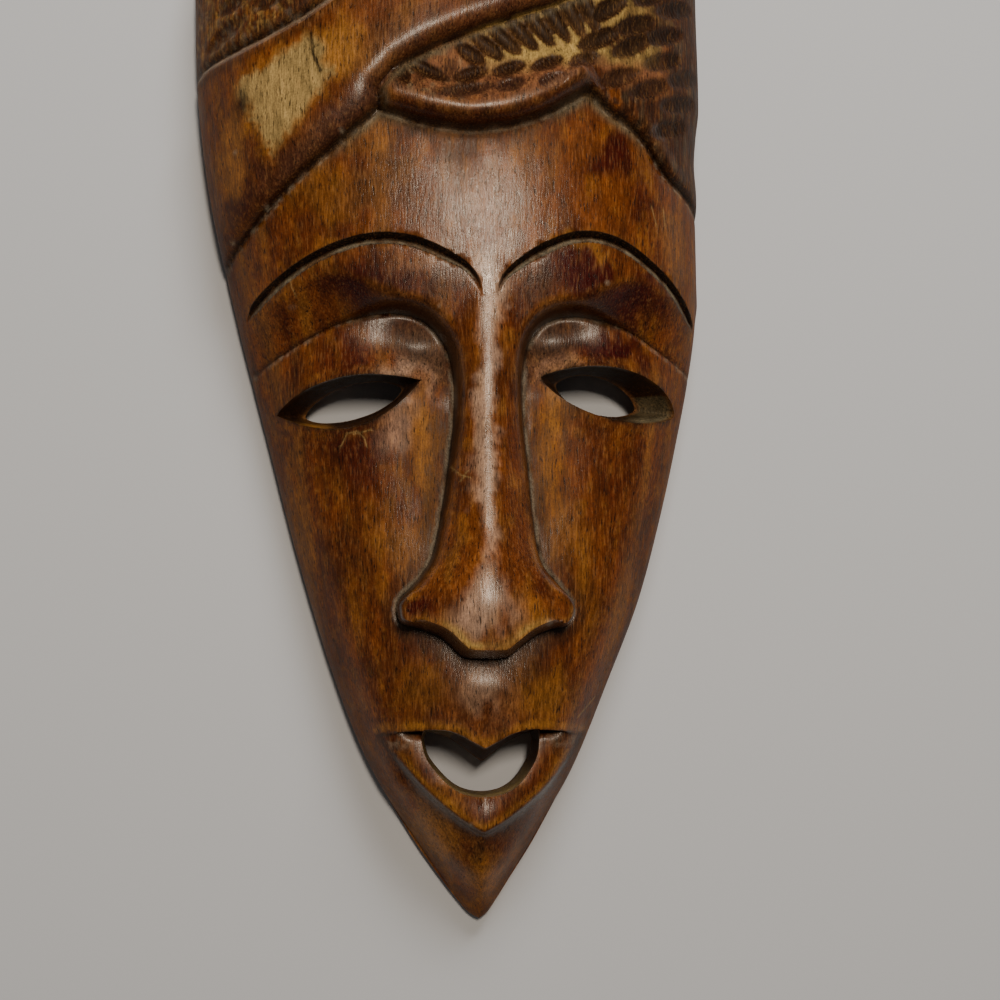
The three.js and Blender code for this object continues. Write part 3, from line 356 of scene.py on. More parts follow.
def even_spline(points, steps):
    return along_line(spline(points), np.linspace(0, 1, steps + 1))


def joined(*lines):
    """Splines that meet in sharp corners."""
    return np.vstack([spline(line)[min(i, 1):] for i, line in enumerate(lines)])


def nearest(line, x, y):
    """Distance to a line, the nearest point's share of the way along, and the side it is seen from."""
    best = np.full(x.shape, np.inf)
    along = np.zeros(x.shape)
    side = np.ones(x.shape)
    for i, ((ax, ay), (bx, by)) in enumerate(zip(line[:-1], line[1:])):
        dx = bx - ax
        dy = by - ay
        t = np.clip(((x - ax) * dx + (y - ay) * dy) / (dx * dx + dy * dy), 0, 1)
        distance = (x - ax - t * dx) ** 2 + (y - ay - t * dy) ** 2
        closer = distance < best
        best = np.where(closer, distance, best)
        along = np.where(closer, (i + t) / (len(line) - 1), along)
        on_left = dx * (y - ay) >= dy * (x - ax)
        side = np.where(closer, np.where(on_left, 1.0, -1.0), side)
    return np.sqrt(best), along, side


def is_inside(loop, x, y):
    inside = np.zeros(x.shape, bool)
    for (ax, ay), (bx, by) in zip(loop, np.roll(loop, 1, axis=0)):
        if ay != by:
            inside ^= ((ay > y) != (by > y)) & (x < (bx - ax) * (y - ay) / (by - ay) + ax)
    return inside


def depth_above(edge, corner=None):
    """How far a point lies above an edge that runs from left to right. Below it is negative."""
    corner = edge[0] if corner is None else corner
    over = [[FAR, edge[-1][1]], [FAR, FAR], [-FAR, FAR], [-FAR, corner[1]], corner]
    loop = np.vstack([edge, over])
    return lambda x, y: nearest(edge, x, y)[0] * np.where(is_inside(loop, x, y), 1.0, -1.0)


upper_edge = spline([*SOCKET_LEFT, *NOSE_BOTTOM, *SOCKET_RIGHT])
hairline = joined(HAIRLINE_LEFT, HAIRLINE_MIDDLE, HAIRLINE_RIGHT)
band_edge = spline(BAND_EDGE)
band_back = spline(BAND_BACK)
rolled_edge = spline(ROLLED_EDGE)
brow_cuts = [(even_spline(BROW_LEFT, BROW_STEPS), 1), (even_spline(BROW_RIGHT, BROW_STEPS), -1)]
upper_lip = joined(UPPER_LIP_LEFT, UPPER_LIP_RIGHT)
lower_lip = joined(LOWER_LIP_LEFT, LOWER_LIP_RIGHT)
mouth_region = np.vstack([upper_lip, lower_lip[-2:0:-1]])

upper_depth = depth_above(upper_edge)
hair_depth = depth_above(hairline)
band_depth = depth_above(np.vstack([HAIR_CORNER, band_edge]), HAIRLINE_LEFT[0])
back_depth = depth_above(band_back)


def pointed_loop(tip, heights, right_at, left_at, crown, step):
    """A loop from its pointed lower end up the right side, over the round crown and down the left side."""
    low, top = crown
    half = (right_at(low) + left_at(low)) / 2
    turn = np.linspace(0, math.pi, round(math.pi * half / step) + 1)
    over = np.stack([CROWN_X + half * np.cos(turn), low + (top - low) * np.sin(turn)], 1)
    right = np.stack([right_at(heights), heights], 1)
    left = np.stack([-left_at(heights), heights], 1)[::-1]
    return np.vstack([[tip], right, over, left])


def inset(width):
    """The width of a loop one rim width inside the blank's edge."""
    def narrower(y):
        slope = (width(y + 1) - width(y - 1)) / 2
        return width(y) - RIM_WIDTH * np.hypot(1, slope)

    return narrower


step = LOOP_STEP * COARSE
blank_heights = np.arange(step / 2, SHOULDER - step / 2, step)
blank_loop = pointed_loop([0, 0], blank_heights, RIGHT_WIDTH, LEFT_WIDTH, (SHOULDER, LENGTH), step)
hollow_step = HOLLOW_STEP * step
hollow_heights = np.arange(HOLLOW_BOTTOM + HOLLOW_TIP, HOLLOW_SHOULDER - step, hollow_step)
hollow_loop = pointed_loop(
    [0, HOLLOW_BOTTOM], hollow_heights, inset(RIGHT_WIDTH), inset(LEFT_WIDTH),
    (HOLLOW_SHOULDER, HOLLOW_TOP), hollow_step,
)


def crest_point(y, low, high):
    """The point of the crest line that a point of a form rounds down from."""
    height = np.clip(y, low, high)
    return CROWN_X * smoothstep(height, CROWN_TURN, high), height


def radius(loop, x, y, low, high):
    """0 on the crest line and 1 on the loop, measured along the ray from the crest through the point."""
    cx, cy = crest_point(y, low, high)
    distance = np.hypot(x - cx, y - cy)
    safe = np.maximum(distance, TINY)
    ux = (x - cx) / safe
    uy = (y - cy) / safe
    reach = np.full(x.shape, np.inf)
    for (ax, ay), (bx, by) in zip(np.roll(loop, 1, axis=0), loop):
        ex = bx - ax
        ey = by - ay
        cross = ux * ey - uy * ex
        cross = np.where(np.abs(cross) < TINY, np.nan, cross)
        out = ((ax - cx) * ey - (ay - cy) * ex) / cross
        t = ((ax - cx) * uy - (ay - cy) * ux) / cross
        hit = (out > 0) & (t >= -TINY) & (t <= 1 + TINY) & (out < reach)
        reach = np.where(hit, out, reach)
    return np.where(distance < TINY, 0.0, distance / reach)


def oval_radius(x, y, right_at, left_at, low, high, top, tip_loop):
    """The same as radius, worked out from the widths and the round crown above the chin's centre."""
    cx, cy = crest_point(y, low, high)
    reach = np.where(x > cx, right_at(cy) - cx, left_at(cy) + cx)
    half = (right_at(high) + left_at(high)) / 2
    across = (x - cx) / np.where(y > high, half, reach)
    r = np.hypot(across, np.maximum(y - high, 0) / (top - high))
    below = y < low
    r[below] = radius(tip_loop, x[below], y[below], low, high)
    return r


def pointed_end(loop, height):
    """The lower end of a pointed loop, up to a height on both sides."""
    up_to = np.argmax(loop[:, 1] > height) + 1
    down_from = len(loop) - np.argmax(loop[::-1, 1] > height) - 1
    return np.vstack([loop[:up_to], loop[down_from:]])


TIP_MARGIN = 1.3
blank_tip = pointed_end(blank_loop, TIP_MARGIN * CHIN_CENTRE)
hollow_tip = pointed_end(hollow_loop, TIP_MARGIN * HOLLOW_CHIN_CENTRE)


def blank_radius(x, y):
    return oval_radius(x, y, RIGHT_WIDTH, LEFT_WIDTH, CHIN_CENTRE, SHOULDER, LENGTH, blank_tip)


def hollow_radius(x, y):
    return oval_radius(
        x, y, inset(RIGHT_WIDTH), inset(LEFT_WIDTH),
        HOLLOW_CHIN_CENTRE, HOLLOW_SHOULDER, HOLLOW_TOP, hollow_tip,
    )


def arch(r, fullness):
    return np.sqrt(1 - np.clip(r, 0, 1) ** fullness)


NOISE_TABLE = 256
SCATTER_WAVE = {"first": 127.1, "second": 311.7, "scale": 43758.5453}


def scatter(a, b):
    """Repeatable scatter between -1 and 1 for hand-made unevenness."""
    s = math.sin(a * SCATTER_WAVE["first"] + b * SCATTER_WAVE["second"]) * SCATTER_WAVE["scale"]
    return 2 * (s - math.floor(s)) - 1


def noise(x, y, size, seed, stretch=1.0):
    """Smooth noise between -1 and 1 with features of the given size, stretched along y."""
    table = np.random.default_rng(seed).uniform(-1, 1, (NOISE_TABLE, NOISE_TABLE))
    u = x / size
    v = y / (size * stretch)
    i = np.floor(u).astype(int)
    j = np.floor(v).astype(int)

    def row(k):
        left = table[i % NOISE_TABLE, k % NOISE_TABLE]
        right = table[(i + 1) % NOISE_TABLE, k % NOISE_TABLE]
        return lerp(left, right, smoothstep(u - i, 0, 1))

    return lerp(row(j), row(j + 1), smoothstep(v - j, 0, 1))


def waves(x, y, rows):
    """Noises added up, each with its reach, size, seed and stretch."""
    return sum(reach * noise(x, y, *settings) for reach, *settings in rows)


def scoop_rows(rows, accept):
    """Staggered rows of scoops round a point, where they are accepted."""
    made = []
    cos = math.cos(rows["heading"])
    sin = math.sin(rows["heading"])
    for i in range(-ROW_SPAN["along"], ROW_SPAN["along"] + 1):
        for j in range(ROW_SPAN["down"], ROW_SPAN["up"] + 1):
            u = (i + 0.5 * (j % 2)) * SCOOP_PITCH + SCOOP_JITTER["along"] * scatter(i, j)
            v = j * SCOOP_ROW + SCOOP_JITTER["across"] * scatter(j, i)
            x = rows["at"][0] + u * cos - v * sin
            y = rows["at"][1] + u * sin + v * cos
            heading = rows["heading"] + SCOOP_JITTER["turn"] * scatter(i + ROW_SPAN["along"], j)
            made.append((x, y, heading, SCOOP["long"], SCOOP["wide"], SCOOP["deep"], CHATTER["rows"]))
    made = np.array(made)
    x, y = made[:, 0], made[:, 1]
    return made[(blank_radius(x, y) < SCOOP_REACH) & accept(x, y)]


def fan_scoops():
    """The fan of scoops in the recess between the band and the rolled edge."""
    t = np.linspace(0, 1, FAN["count"])
    fan = np.stack([
        lerp(FAN["from"][0], FAN["to"][0], t),
        lerp(FAN["from"][1], FAN["to"][1], t),
        FAN["heading"] + FAN["turn"] * t,
        FAN_SCOOP["long"] + FAN_SCOOP["longer"] * t,
        np.full_like(t, FAN_SCOOP["wide"]),
        np.full_like(t, FAN_SCOOP["deep"]),
        np.full_like(t, CHATTER["fan"]),
    ], 1)
    corner = [
        (x, y, heading, long, wide, FAN_SCOOP["deep"], CHATTER["fan"])
        for x, y, long, wide, heading in FAN_CORNER
    ]
    return np.vstack([fan, corner])


def rim_scoops():
    """Rows of short scoops with chatter marks behind the rolled edge."""
    made = []
    for row in RIM_ROWS:
        for i in range(row["count"]):
            t = i / (row["count"] - 1)
            x, y = lerp(np.array(row["from"]), np.array(row["to"]), t)
            long = row["long"] - row["shorter"] * min(1, 2 * t)
            heading = row["heading"] + RIM_SCOOP["turn"] * t
            made.append((x, y, heading, long, RIM_SCOOP["wide"], RIM_SCOOP["deep"], CHATTER["rim"]))
    return np.array(made)


def in_right_hair(x, y):
    beside = band_depth(x, y) < -RIGHT_ROWS["off_band"]
    return (x > RIGHT_ROWS["left"]) & beside & (hair_depth(x, y) > RIGHT_ROWS["off_groove"])


def in_left_hair(x, y):
    return back_depth(x, y) > LEFT_ROWS["off_band"]


hair_scoops = np.vstack([
    scoop_rows(RIGHT_ROWS, in_right_hair), scoop_rows(LEFT_ROWS, in_left_hair), fan_scoops(), rim_scoops(),
])


def scoop_depth(x, y, clear, grown=1.0):
    """Depth of the gouge scoops, with the tool's chatter marks across each one."""
    deepest = np.zeros(x.shape)
    for sx, sy, heading, long, wide, deep, marks in hair_scoops * [1, 1, 1, grown, grown, 1, 1]:
        near = np.flatnonzero((np.abs(x - sx) < long) & (np.abs(y - sy) < long) & (clear > 0))
        dx = x[near] - sx
        dy = y[near] - sy
        u = dx * math.cos(heading) + dy * math.sin(heading)
        v = dy * math.cos(heading) - dx * math.sin(heading)
        inside = np.clip(1 - (u / long) ** 2 - (v / wide) ** 2, 0, 1) ** SCOOP_ROUND
        chatter = marks * np.sin(2 * math.pi * u / CHATTER["pitch"]) * np.minimum(1, 2 * inside)
        deepest[near] = np.maximum(deepest[near], deep * inside + chatter * (inside > 0))
    return deepest * smoothstep(clear, *SCOOP_FADE)


def band_level(in_hair, band, back):
    """Height of the swept band over the forehead, down to the scooped hair behind it."""
    edge = BAND["edge_share"] + (1 - BAND["edge_share"]) * roll(band, BAND["edge_run"])
    top = BAND["raise"] * roll(in_hair, BAND["run"]) * edge
    behind = smoothstep(back, BAND_BACK_STEP["from"], BAND_BACK_STEP["to"])
    cut = BAND_BACK_CUT["deep"] * bell(back - BAND_BACK_CUT["at"], BAND_BACK_CUT["wide"])
    return lerp(top, HAIR["raise"] - BAND_BACK_STEP["drop"], behind) - cut


def hair_level(x, y, in_hair, band):
    """Height of the scooped hair right of the band, with its rolled edge over the forehead."""
    full = smoothstep(x, HAIR["recess_end"], HAIR["full_from"])
    level = HAIR["raise"] * roll(in_hair, HAIR["run"]) * lerp(HAIR["recess"], 1, full)
    distance, along, side = nearest(rolled_edge, x, y)
    fall = np.where(side > 0, bell(distance, ROLL["fall"]), 1)
    rim = ROLL["raise"] * plateau(along, *ROLL["along"]) * fall * roll(in_hair, ROLL["run"])
    return level + rim - BAND_EDGE_CUT["deep"] * bell(band, BAND_EDGE_CUT["wide"])


def hair_places(x, y):
    """How far points lie in the hair, on the band, behind it, and clear of the scooped hair's edges."""
    in_hair = hair_depth(x, y)
    band = band_depth(x, y)
    back = back_depth(x, y)
    return in_hair, band, back, np.where(band > 0, back, np.minimum(-band, in_hair))


def hair_relief(x, y):
    """Relief of the hair above the forehead dome, with the groove round the forehead."""
    in_hair, band, back, clear = hair_places(x, y)
    level = np.where(band > 0, band_level(in_hair, band, back), hair_level(x, y, in_hair, band))
    level -= scoop_depth(x, y, clear)
    level += waves(x, y, BEHIND_ROUGH) * smoothstep(back, *BEHIND_ROUGH_FROM)
    return np.where(in_hair > 0, level, 0) - GROOVE["deep"] * bell(in_hair, GROOVE["wide"])


def brow_taper(along):
    """How full a brow cut is at a share of the way from its outer to its inner end."""
    return smoothstep(along, 0, BROW_ENDS["outer"]) * np.sqrt(1 - smoothstep(along, BROW_ENDS["inner"], 1))


def brow_reach(along, wall):
    return wall * lerp(BROW_ENDS["least"], 1, brow_taper(along))


def brow_cut_depth(x, y):
    deepest = np.zeros(x.shape)
    for line, up in brow_cuts:
        distance, along, side = nearest(line, x, y)
        wall = np.where(side * up > 0, BROW_CUT["above"], BROW_CUT["below"])
        share = 1 - (distance + waves(x, y, CUT_RAGGED)) / brow_reach(along, wall)
        deepest = np.maximum(deepest, BROW_CUT["depth"] * brow_taper(along) * share)
    return deepest


def lip_height(x):
    """Height of the upper lip's edge at a place across the mouth."""
    return np.interp(x, *upper_lip.T)


def lip_relief(x, y):
    lower = nearest(lower_lip, x, y)[0]
    upper = nearest(upper_lip, x, y)[0]
    taper = smoothstep(1 - np.abs(x) / LIP_HALF_WIDTH, 0, LIP_TAPER)
    dish = LOWER_LIP_DISH["deep"] * np.minimum(1, lower / LOWER_LIP_DISH["run"]) ** LOWER_LIP_DISH["ease"]
    dish += UNDER_TOOTH["deep"] * smoothstep(-upper, -UNDER_TOOTH["run"], 0)
    above = UPPER_LIP_SWELL["high"] * bell(upper, UPPER_LIP_SWELL["wide"])
    fade = 1 - smoothstep(lower, LOWER_LIP_STEP["fade_from"], LOWER_LIP_STEP["fade_to"])
    below = -LOWER_LIP_STEP["deep"] * smoothstep(lower, 0, LOWER_LIP_STEP["run"]) * fade
    outside = np.where(y > lip_height(x), above, below)
    return taper * np.where(is_inside(mouth_region, x, y), -dish, outside)


def face_level(x, y, r):
    """Sockets, cheeks, muzzle, lips and chin."""
    level = RIM_HEIGHT + (FACE_CREST(y) - RIM_HEIGHT) * arch(r, FACE_FULLNESS)
    for (at_x, at_y), wide, high, height in FACE_FORMS:
        level += height * bell(x - at_x, wide) * bell(y - at_y, high)
    in_chin = 1 - smoothstep(y, CHIN_KEEL["low"], CHIN_KEEL["high"])
    keel = in_chin * CHIN_KEEL["slope"] * (np.hypot(x, CHIN_KEEL["soft"]) - CHIN_KEEL["soft"])
    return level - keel + lip_relief(x, y)


def upper_level(x, y, r):
    """Forehead dome, hair and nose, before the sockets and cheeks are cut back."""
    dome = RIM_HEIGHT + (DOME_CREST(y) - RIM_HEIGHT) * arch(r, DOME_FULLNESS)
    soft = NOSE_ROUND(y)
    nose = NOSE_RIDGE(y) - NOSE_SLOPE(y) * (np.hypot(x, soft) - soft)
    top = (dome + nose + np.hypot(dome - nose, NOSE_BLEND)) / 2
    merged = lerp(top, dome, smoothstep(y, *NOSE_ROOT))
    return merged + hair_relief(x, y) - brow_cut_depth(x, y)


def edge_rise(x, y, in_upper):
    """Share of the step from the face up to the brow and the nose, from 0 on their edge to 1."""
    outer = smoothstep(np.abs(x), *EDGE_OUTER)
    under = 1 - smoothstep(y, *EDGE_UNDER)
    run = lerp(EDGE_RUN["side"], lerp(EDGE_RUN["brow"], EDGE_RUN["outer"], outer), smoothstep(y, *EDGE_SIDE))
    wing = smoothstep(np.abs(x), *WING_ENDS) * (1 - smoothstep(y, *WING_TOP))
    run = lerp(lerp(run, EDGE_RUN["under"], under), EDGE_RUN["wing"], wing)
    flat = np.maximum(outer, UNDER_FLATNESS * under)
    return lerp(roll(in_upper, run), np.clip(in_upper / run, 0, 1), flat)


def front(x, y):
    """Height of the front surface above the back rim."""
    r = blank_radius(x, y)
    in_upper = upper_depth(x, y)
    level = lerp(face_level(x, y, r), upper_level(x, y, r), edge_rise(x, y, in_upper))
    above_tip = smoothstep(y, *EDGE_UNDER)
    level -= CREASE["deep"] * above_tip * bell(in_upper, CREASE["wide"])
    level -= NOSE_WORN["deep"] * plateau(y, *NOSE_WORN["along"]) * bell(x, NOSE_WORN["wide"])
    return level + waves(x, y, UNEVEN)


def hollow(x, y):
    """Height of the hollow's surface above the back rim, with the marks of the gouge that cut it."""
    smooth = HOLLOW_CREST(y) * arch(hollow_radius(x, y), HOLLOW_FULLNESS)
    lane = x / GOUGE["wide"] + waves(x, y, GOUGE_SWAY)
    pass_deep = lerp(GOUGE["least"], 1, (1 + waves(x, y, GOUGE_PRESS)) / 2)
    inner = smoothstep(smooth, *GOUGE["fade"])
    return smooth + GOUGE["deep"] * inner * pass_deep * (np.abs(np.sin(math.pi * lane)) - 1)


def lid(share, height, outer_fullness, inner_fullness):
    """A lid's height over the line between the corners of an eye. Lower fullness is rounder."""
    peak = outer_fullness / (outer_fullness + inner_fullness)
    shape = share ** outer_fullness * (1 - share) ** inner_fullness
    return height * shape / (peak ** outer_fullness * (1 - peak) ** inner_fullness)


def lens(outer, inner, upper_lid, lower_lid):
    """A pointed lens from the outer corner along the lower lid and back along the upper lid."""
    outer = np.array(outer, float)
    across = np.array(inner) - outer
    up = np.array([-across[1], across[0]]) / np.hypot(*across)
    up *= np.sign(up[1])
    turn = 2 * math.pi * np.arange(EYE_POINTS) / EYE_POINTS
    share = np.clip((1 - np.cos(turn)) / 2, 0, 1)
    rise = np.where(np.sin(turn) > 0, -lid(share, *lower_lid), lid(share, *upper_lid))
    loop = outer + across * share[:, None] + up * rise[:, None]
    return loop if across[0] > 0 else loop[::-1]


def mouth_loop(lift, tooth_drop, shrink):
    """The mouth opening: the upper lip's edge with its tooth from right to left, then the lower curve."""
    left = OPENING_LOWER[0][0] * shrink
    right = OPENING_LOWER[-1][0] * shrink
    upper_x = np.linspace(right, left, OPENING_POINTS)[1:-1]
    droop = tooth_drop * (1 - np.abs(upper_x) / right).clip(0)
    upper = np.stack([upper_x, lip_height(upper_x) + lift - droop], 1)
    curve = spline(OPENING_LOWER)
    lower = OPENING_MIDDLE + (curve - OPENING_MIDDLE) * shrink
    return np.vstack([upper, lower])


def drawn_in(loop, share, low, high):
    cx, cy = crest_point(loop[:, 1], low, high)
    return np.stack([lerp(cx, loop[:, 0], share), lerp(cy, loop[:, 1], share)], 1)


def beside(line, offset, gap):
    """Evenly spaced points beside a line, in order. Positive offsets are on its left."""
    length = np.hypot(*np.diff(line, axis=0).T).sum()
    share = np.linspace(0, 1, max(3, int(length / gap)))
    place = along_line(line, share)
    ahead = np.gradient(place, axis=0)
    ahead /= np.hypot(*ahead.T)[:, None]
    aside = np.stack([-ahead[:, 1], ahead[:, 0]], 1)
    distance = offset(share) if callable(offset) else np.full(len(share), offset)
    return place + aside * distance[:, None]


class Sites:
    """The points of a net, each kept only where it is clear of the points before it, and their links."""

    def __init__(self, loops):
        self.loops = loops
        self.cell = SEARCH_CELL * COARSE
        self.near = {}
        self.points = []
        self.links = []
        for loop in loops:
            start = len(self.points)
            self.keep(loop.tolist())
            ids = list(range(start, len(self.points)))
            self.links += zip(ids, ids[1:] + ids[:1])

    def keep(self, points):
        for x, y in points:
            self.near.setdefault((int(x // self.cell), int(y // self.cell)), []).append((x, y))
            self.points.append((x, y))

    def clear(self, x, y, gap):
        i = int(x // self.cell)
        j = int(y // self.cell)
        for a in (i - 1, i, i + 1):
            for b in (j - 1, j, j + 1):
                for px, py in self.near.get((a, b), ()):
                    if (x - px) ** 2 + (y - py) ** 2 < gap * gap:
                        return False
        return True

    def within(self, points):
        """Whether points lie inside the outer loop and outside the holes."""
        held = is_inside(self.loops[0], *points.T)
        for hole in self.loops[1:]:
            held &= ~is_inside(hole, *points.T)
        return held

    def add_row(self, points, gap):
        """A row of points, linked where neighbours are both kept."""
        held = self.within(points)
        kept = [bool(h) and self.clear(x, y, gap) for (x, y), h in zip(points.tolist(), held)]
        ids = np.cumsum(kept) - 1 + len(self.points)
        self.links += [(ids[i], ids[i + 1]) for i in range(len(kept) - 1) if kept[i] and kept[i + 1]]
        self.keep(points[kept].tolist())

    def add_fill(self, points, gap):
        for x, y in points[self.within(points)].tolist():
            if self.clear(x, y, gap):
                self.keep([(x, y)])

    def net(self):
        """Points and triangles of the net, and where each point of the loops went."""
        flat = [Vector(p) for p in self.points]
        links = [(int(a), int(b)) for a, b in self.links]
        made, _, faces, origins, _, _ = delaunay_2d_cdt(flat, links, [], 0, NET_EPSILON, True)
        points = np.array([tuple(p) for p in made])
        faces = np.array(faces)
        loop_count = sum(map(len, self.loops))
        loop_ids = np.zeros(loop_count, int)
        for i, origin in enumerate(origins):
            for source in origin:
                if source < loop_count:
                    loop_ids[source] = i
        on_loop = np.zeros(len(points), bool)
        on_loop[loop_ids] = True
        unsure = on_loop[faces].all(1)
        keep = np.ones(len(faces), bool)
        keep[unsure] = self.within(points[faces[unsure]].mean(1))
        return points, faces[keep], loop_ids


class Body:
    """Gathers vertices and triangles of one closed body, with the region that each vertex belongs to."""

    def __init__(self):
        self.points = []
        self.regions = []
        self.faces = []

    def add(self, xy, z, region):
        start = sum(map(len, self.points))
        self.points.append(np.column_stack([xy, np.broadcast_to(z, len(xy))]))
        self.regions.append(np.full(len(xy), region))
        return np.arange(start, start + len(xy))

    def strip(self, lower, upper):
        """Triangles between two loops. The first loop runs counter-clockwise seen from outside."""
        nxt = np.roll(lower, -1)
        above = np.roll(upper, -1)
        self.faces.append(np.stack([lower, nxt, above], 1))
        self.faces.append(np.stack([lower, above, upper], 1))


FRONT, SIDE, RIM, HOLLOW, WALL = range(5)


def grid_fill(loop, gap):
    """Points of a triangular grid over a loop's box."""
    low = loop.min(0)
    high = loop.max(0)
    x, y = np.meshgrid(np.arange(low[0], high[0], gap), np.arange(low[1], high[1], gap * math.sqrt(3) / 2))
    x[1::2] += gap / 2
    return np.stack([x.ravel(), y.ravel()], 1)


# Rows of points along the carved lines: places beside the line, spacing, and the share of the spacing
# that they stay clear of other points. A place across a brow cut is a share of its wall and more.
BROW_PLACES = [
    ("above", 0, 0), ("above", 1, 0), ("below", 1, 0), ("above", 1, 0.35), ("below", 1, 0.35),
    ("above", 0.5, 0), ("below", 0.34, 0), ("below", 0.67, 0),
]
BROW_SPACING = (0.62, 0.42)
FEATURE_ROWS = [
    (spline(NOSE_BOTTOM), [0, EDGE_RUN["under"], -0.4, 0.8, 1.6, 2.3, 3.5, 4.2, -1], 0.7, 0.45),
    (upper_edge, [0, 0.35, -0.5, 0.9, -1.1, 1.6, 2.4, 3.3, 4.4, -1.9], 0.8, 0.45),
    (upper_lip, [0.06, -0.06, 0.6, -0.5, 1.3, -1.2, 2.1], 0.7, 0.4),
    (lower_lip, [0, 0.5, -0.6, 1.1, -1.3, 1.9, -2.1], 0.7, 0.5),
    (hairline, [0.05, 0.6, -0.6, 1.2, -1.3, 1.9, -2.1, 2.8], 0.75, 0.5),
    (band_edge, [0.05, -0.05, 0.6, -0.7, 1.3, -1.5, 2.1, -2.4], 0.75, 0.45),
    (band_back, [0.8, 0.4, -0.2, -1, -2.8, 1.4, 2.1, -1.9], 0.8, 0.5),
    (np.array(CHIN_RIDGE, float), [0, 0.8, -0.8], 1.0, 0.6),
    (np.array(NOSE_LINE, float), [0, 1, -1, 2, -2, 3, -3, 4, -4, 5, -5], 1.1, 0.6),
]
HOLE_ROWS = ([-0.35, -0.8, -1.5], 0.8, 0.4)
MARK_ROWS = ([0, 0.3, -0.3, 0.7, -0.7], 0.6, 0.4)


def add_feature_rows(sites, holes):
    """Rows of points along each carved line, so that the net bends exactly there."""

    def rows(line, offsets, gap, clearance):
        for offset in offsets:
            sites.add_row(beside(line, offset, gap * COARSE), clearance * gap * COARSE)

    def across_cut(up, wall, part, beyond):
        side = up if wall == "above" else -up
        return lambda share: side * (brow_reach(share, BROW_CUT[wall]) * part + beyond)

    for line, up in brow_cuts:
        rows(line, [across_cut(up, *place) for place in BROW_PLACES], *BROW_SPACING)
    for line, *settings in FEATURE_ROWS:
        rows(line, *settings)
    for hole in holes:
        rows(np.vstack([hole, hole[:1]]), *HOLE_ROWS)
    for ends in SCRATCHES + SLITS:
        rows(np.array(ends, float), *MARK_ROWS)


def add_fills(sites):
    """Points over the front: finest in the scoops at the rolled edge, fine in the other hair."""
    rim = grid_fill(blank_loop, RIM_FILL * COARSE)
    clear = -band_depth(*rim.T)
    chattered = (clear > 0) & (scoop_depth(*rim.T, clear) > 0)
    chattered &= (rim[:, 0] < RIM_FINE[1]) & (rim[:, 1] > RIM_FINE[0])
    sites.add_fill(rim[chattered], RIM_CLEAR * RIM_FILL * COARSE)
    fine = grid_fill(blank_loop, HAIR_FILL * COARSE)
    in_hair, band, back, _ = hair_places(*fine.T)
    smooth_band = (band > SMOOTH_BAND) & (back < -SMOOTH_BAND)
    sites.add_fill(fine[(in_hair > 0) & ~smooth_band], FILL_CLEAR * HAIR_FILL * COARSE)
    sites.add_fill(grid_fill(blank_loop, FRONT_FILL * COARSE), FILL_CLEAR * FRONT_FILL * COARSE)


def add_front(body, holes):
    """The front's net and the sides down to the back face."""
    ring = drawn_in(blank_loop, FRONT_SHARE, CHIN_CENTRE, SHOULDER)
    sites = Sites([ring, *holes])
    add_feature_rows(sites, holes)
    add_fills(sites)
    points, faces, loop_ids = sites.net()
    ids = body.add(points, front(*points.T), FRONT)
    body.faces.append(ids[faces])
    ids = ids[loop_ids]
    ring_count = len(ring)
    above = ids[:ring_count]
    top = arch(FRONT_SHARE, DOME_FULLNESS)
    for k in range(1, SIDE_RINGS + 1):
        share = (1 - (top * (1 - k / SIDE_RINGS)) ** 2) ** (1 / DOME_FULLNESS)
        loop = drawn_in(blank_loop, share, CHIN_CENTRE, SHOULDER)
        new = body.add(loop, np.maximum(front(*loop.T), RIM_HEIGHT), SIDE)
        body.strip(new, above)
        above = new
    for k in range(1, WALL_RINGS + 1):
        new = body.add(blank_loop, RIM_HEIGHT * (1 - k / WALL_RINGS), SIDE)
        body.strip(new, above)
        above = new
    return above, ids[ring_count:]


def add_hollow(body, holes):
    """The hollow, seen from behind."""
    rim = body.add(hollow_loop, 0, HOLLOW)
    above = rim
    top = arch(HOLLOW_SHARE, HOLLOW_FULLNESS)
    for k in range(1, HOLLOW_RINGS):
        share = (1 - (top * k / HOLLOW_RINGS) ** 2) ** (1 / HOLLOW_FULLNESS)
        loop = drawn_in(hollow_loop, share, HOLLOW_CHIN_CENTRE, HOLLOW_SHOULDER)
        new = body.add(loop, hollow(*loop.T), HOLLOW)
        body.strip(new, above)
        above = new
    loop = drawn_in(hollow_loop, HOLLOW_SHARE, HOLLOW_CHIN_CENTRE, HOLLOW_SHOULDER)
    sites = Sites([loop, *holes])
    fill = HOLLOW_FILL * COARSE
    sites.add_fill(grid_fill(hollow_loop, fill), FILL_CLEAR * fill)
    points, faces, loop_ids = sites.net()
    ids = body.add(points, hollow(*points.T), HOLLOW)
    body.faces.append(ids[faces][:, ::-1])
    loop_ids = ids[loop_ids]
    body.strip(loop_ids[: len(loop)], above)
    return rim, loop_ids[len(loop) :]


def add_holes(body, face_loops, back_loops, face_ids, back_ids):
    """The walls of the eyes and the mouth."""
    start = 0
    for face_loop, back_loop in zip(face_loops, back_loops):
        end = start + len(face_loop)
        face_z = front(*face_loop.T)
        back_z = hollow(*back_loop.T)
        above = face_ids[start:end]
        for k in range(1, HOLE_RINGS):
            share = k / HOLE_RINGS
            new = body.add(lerp(face_loop, back_loop, share), lerp(face_z, back_z, share), WALL)
            body.strip(above, new)
            above = new
        body.strip(above, back_ids[start:end])
        start = end


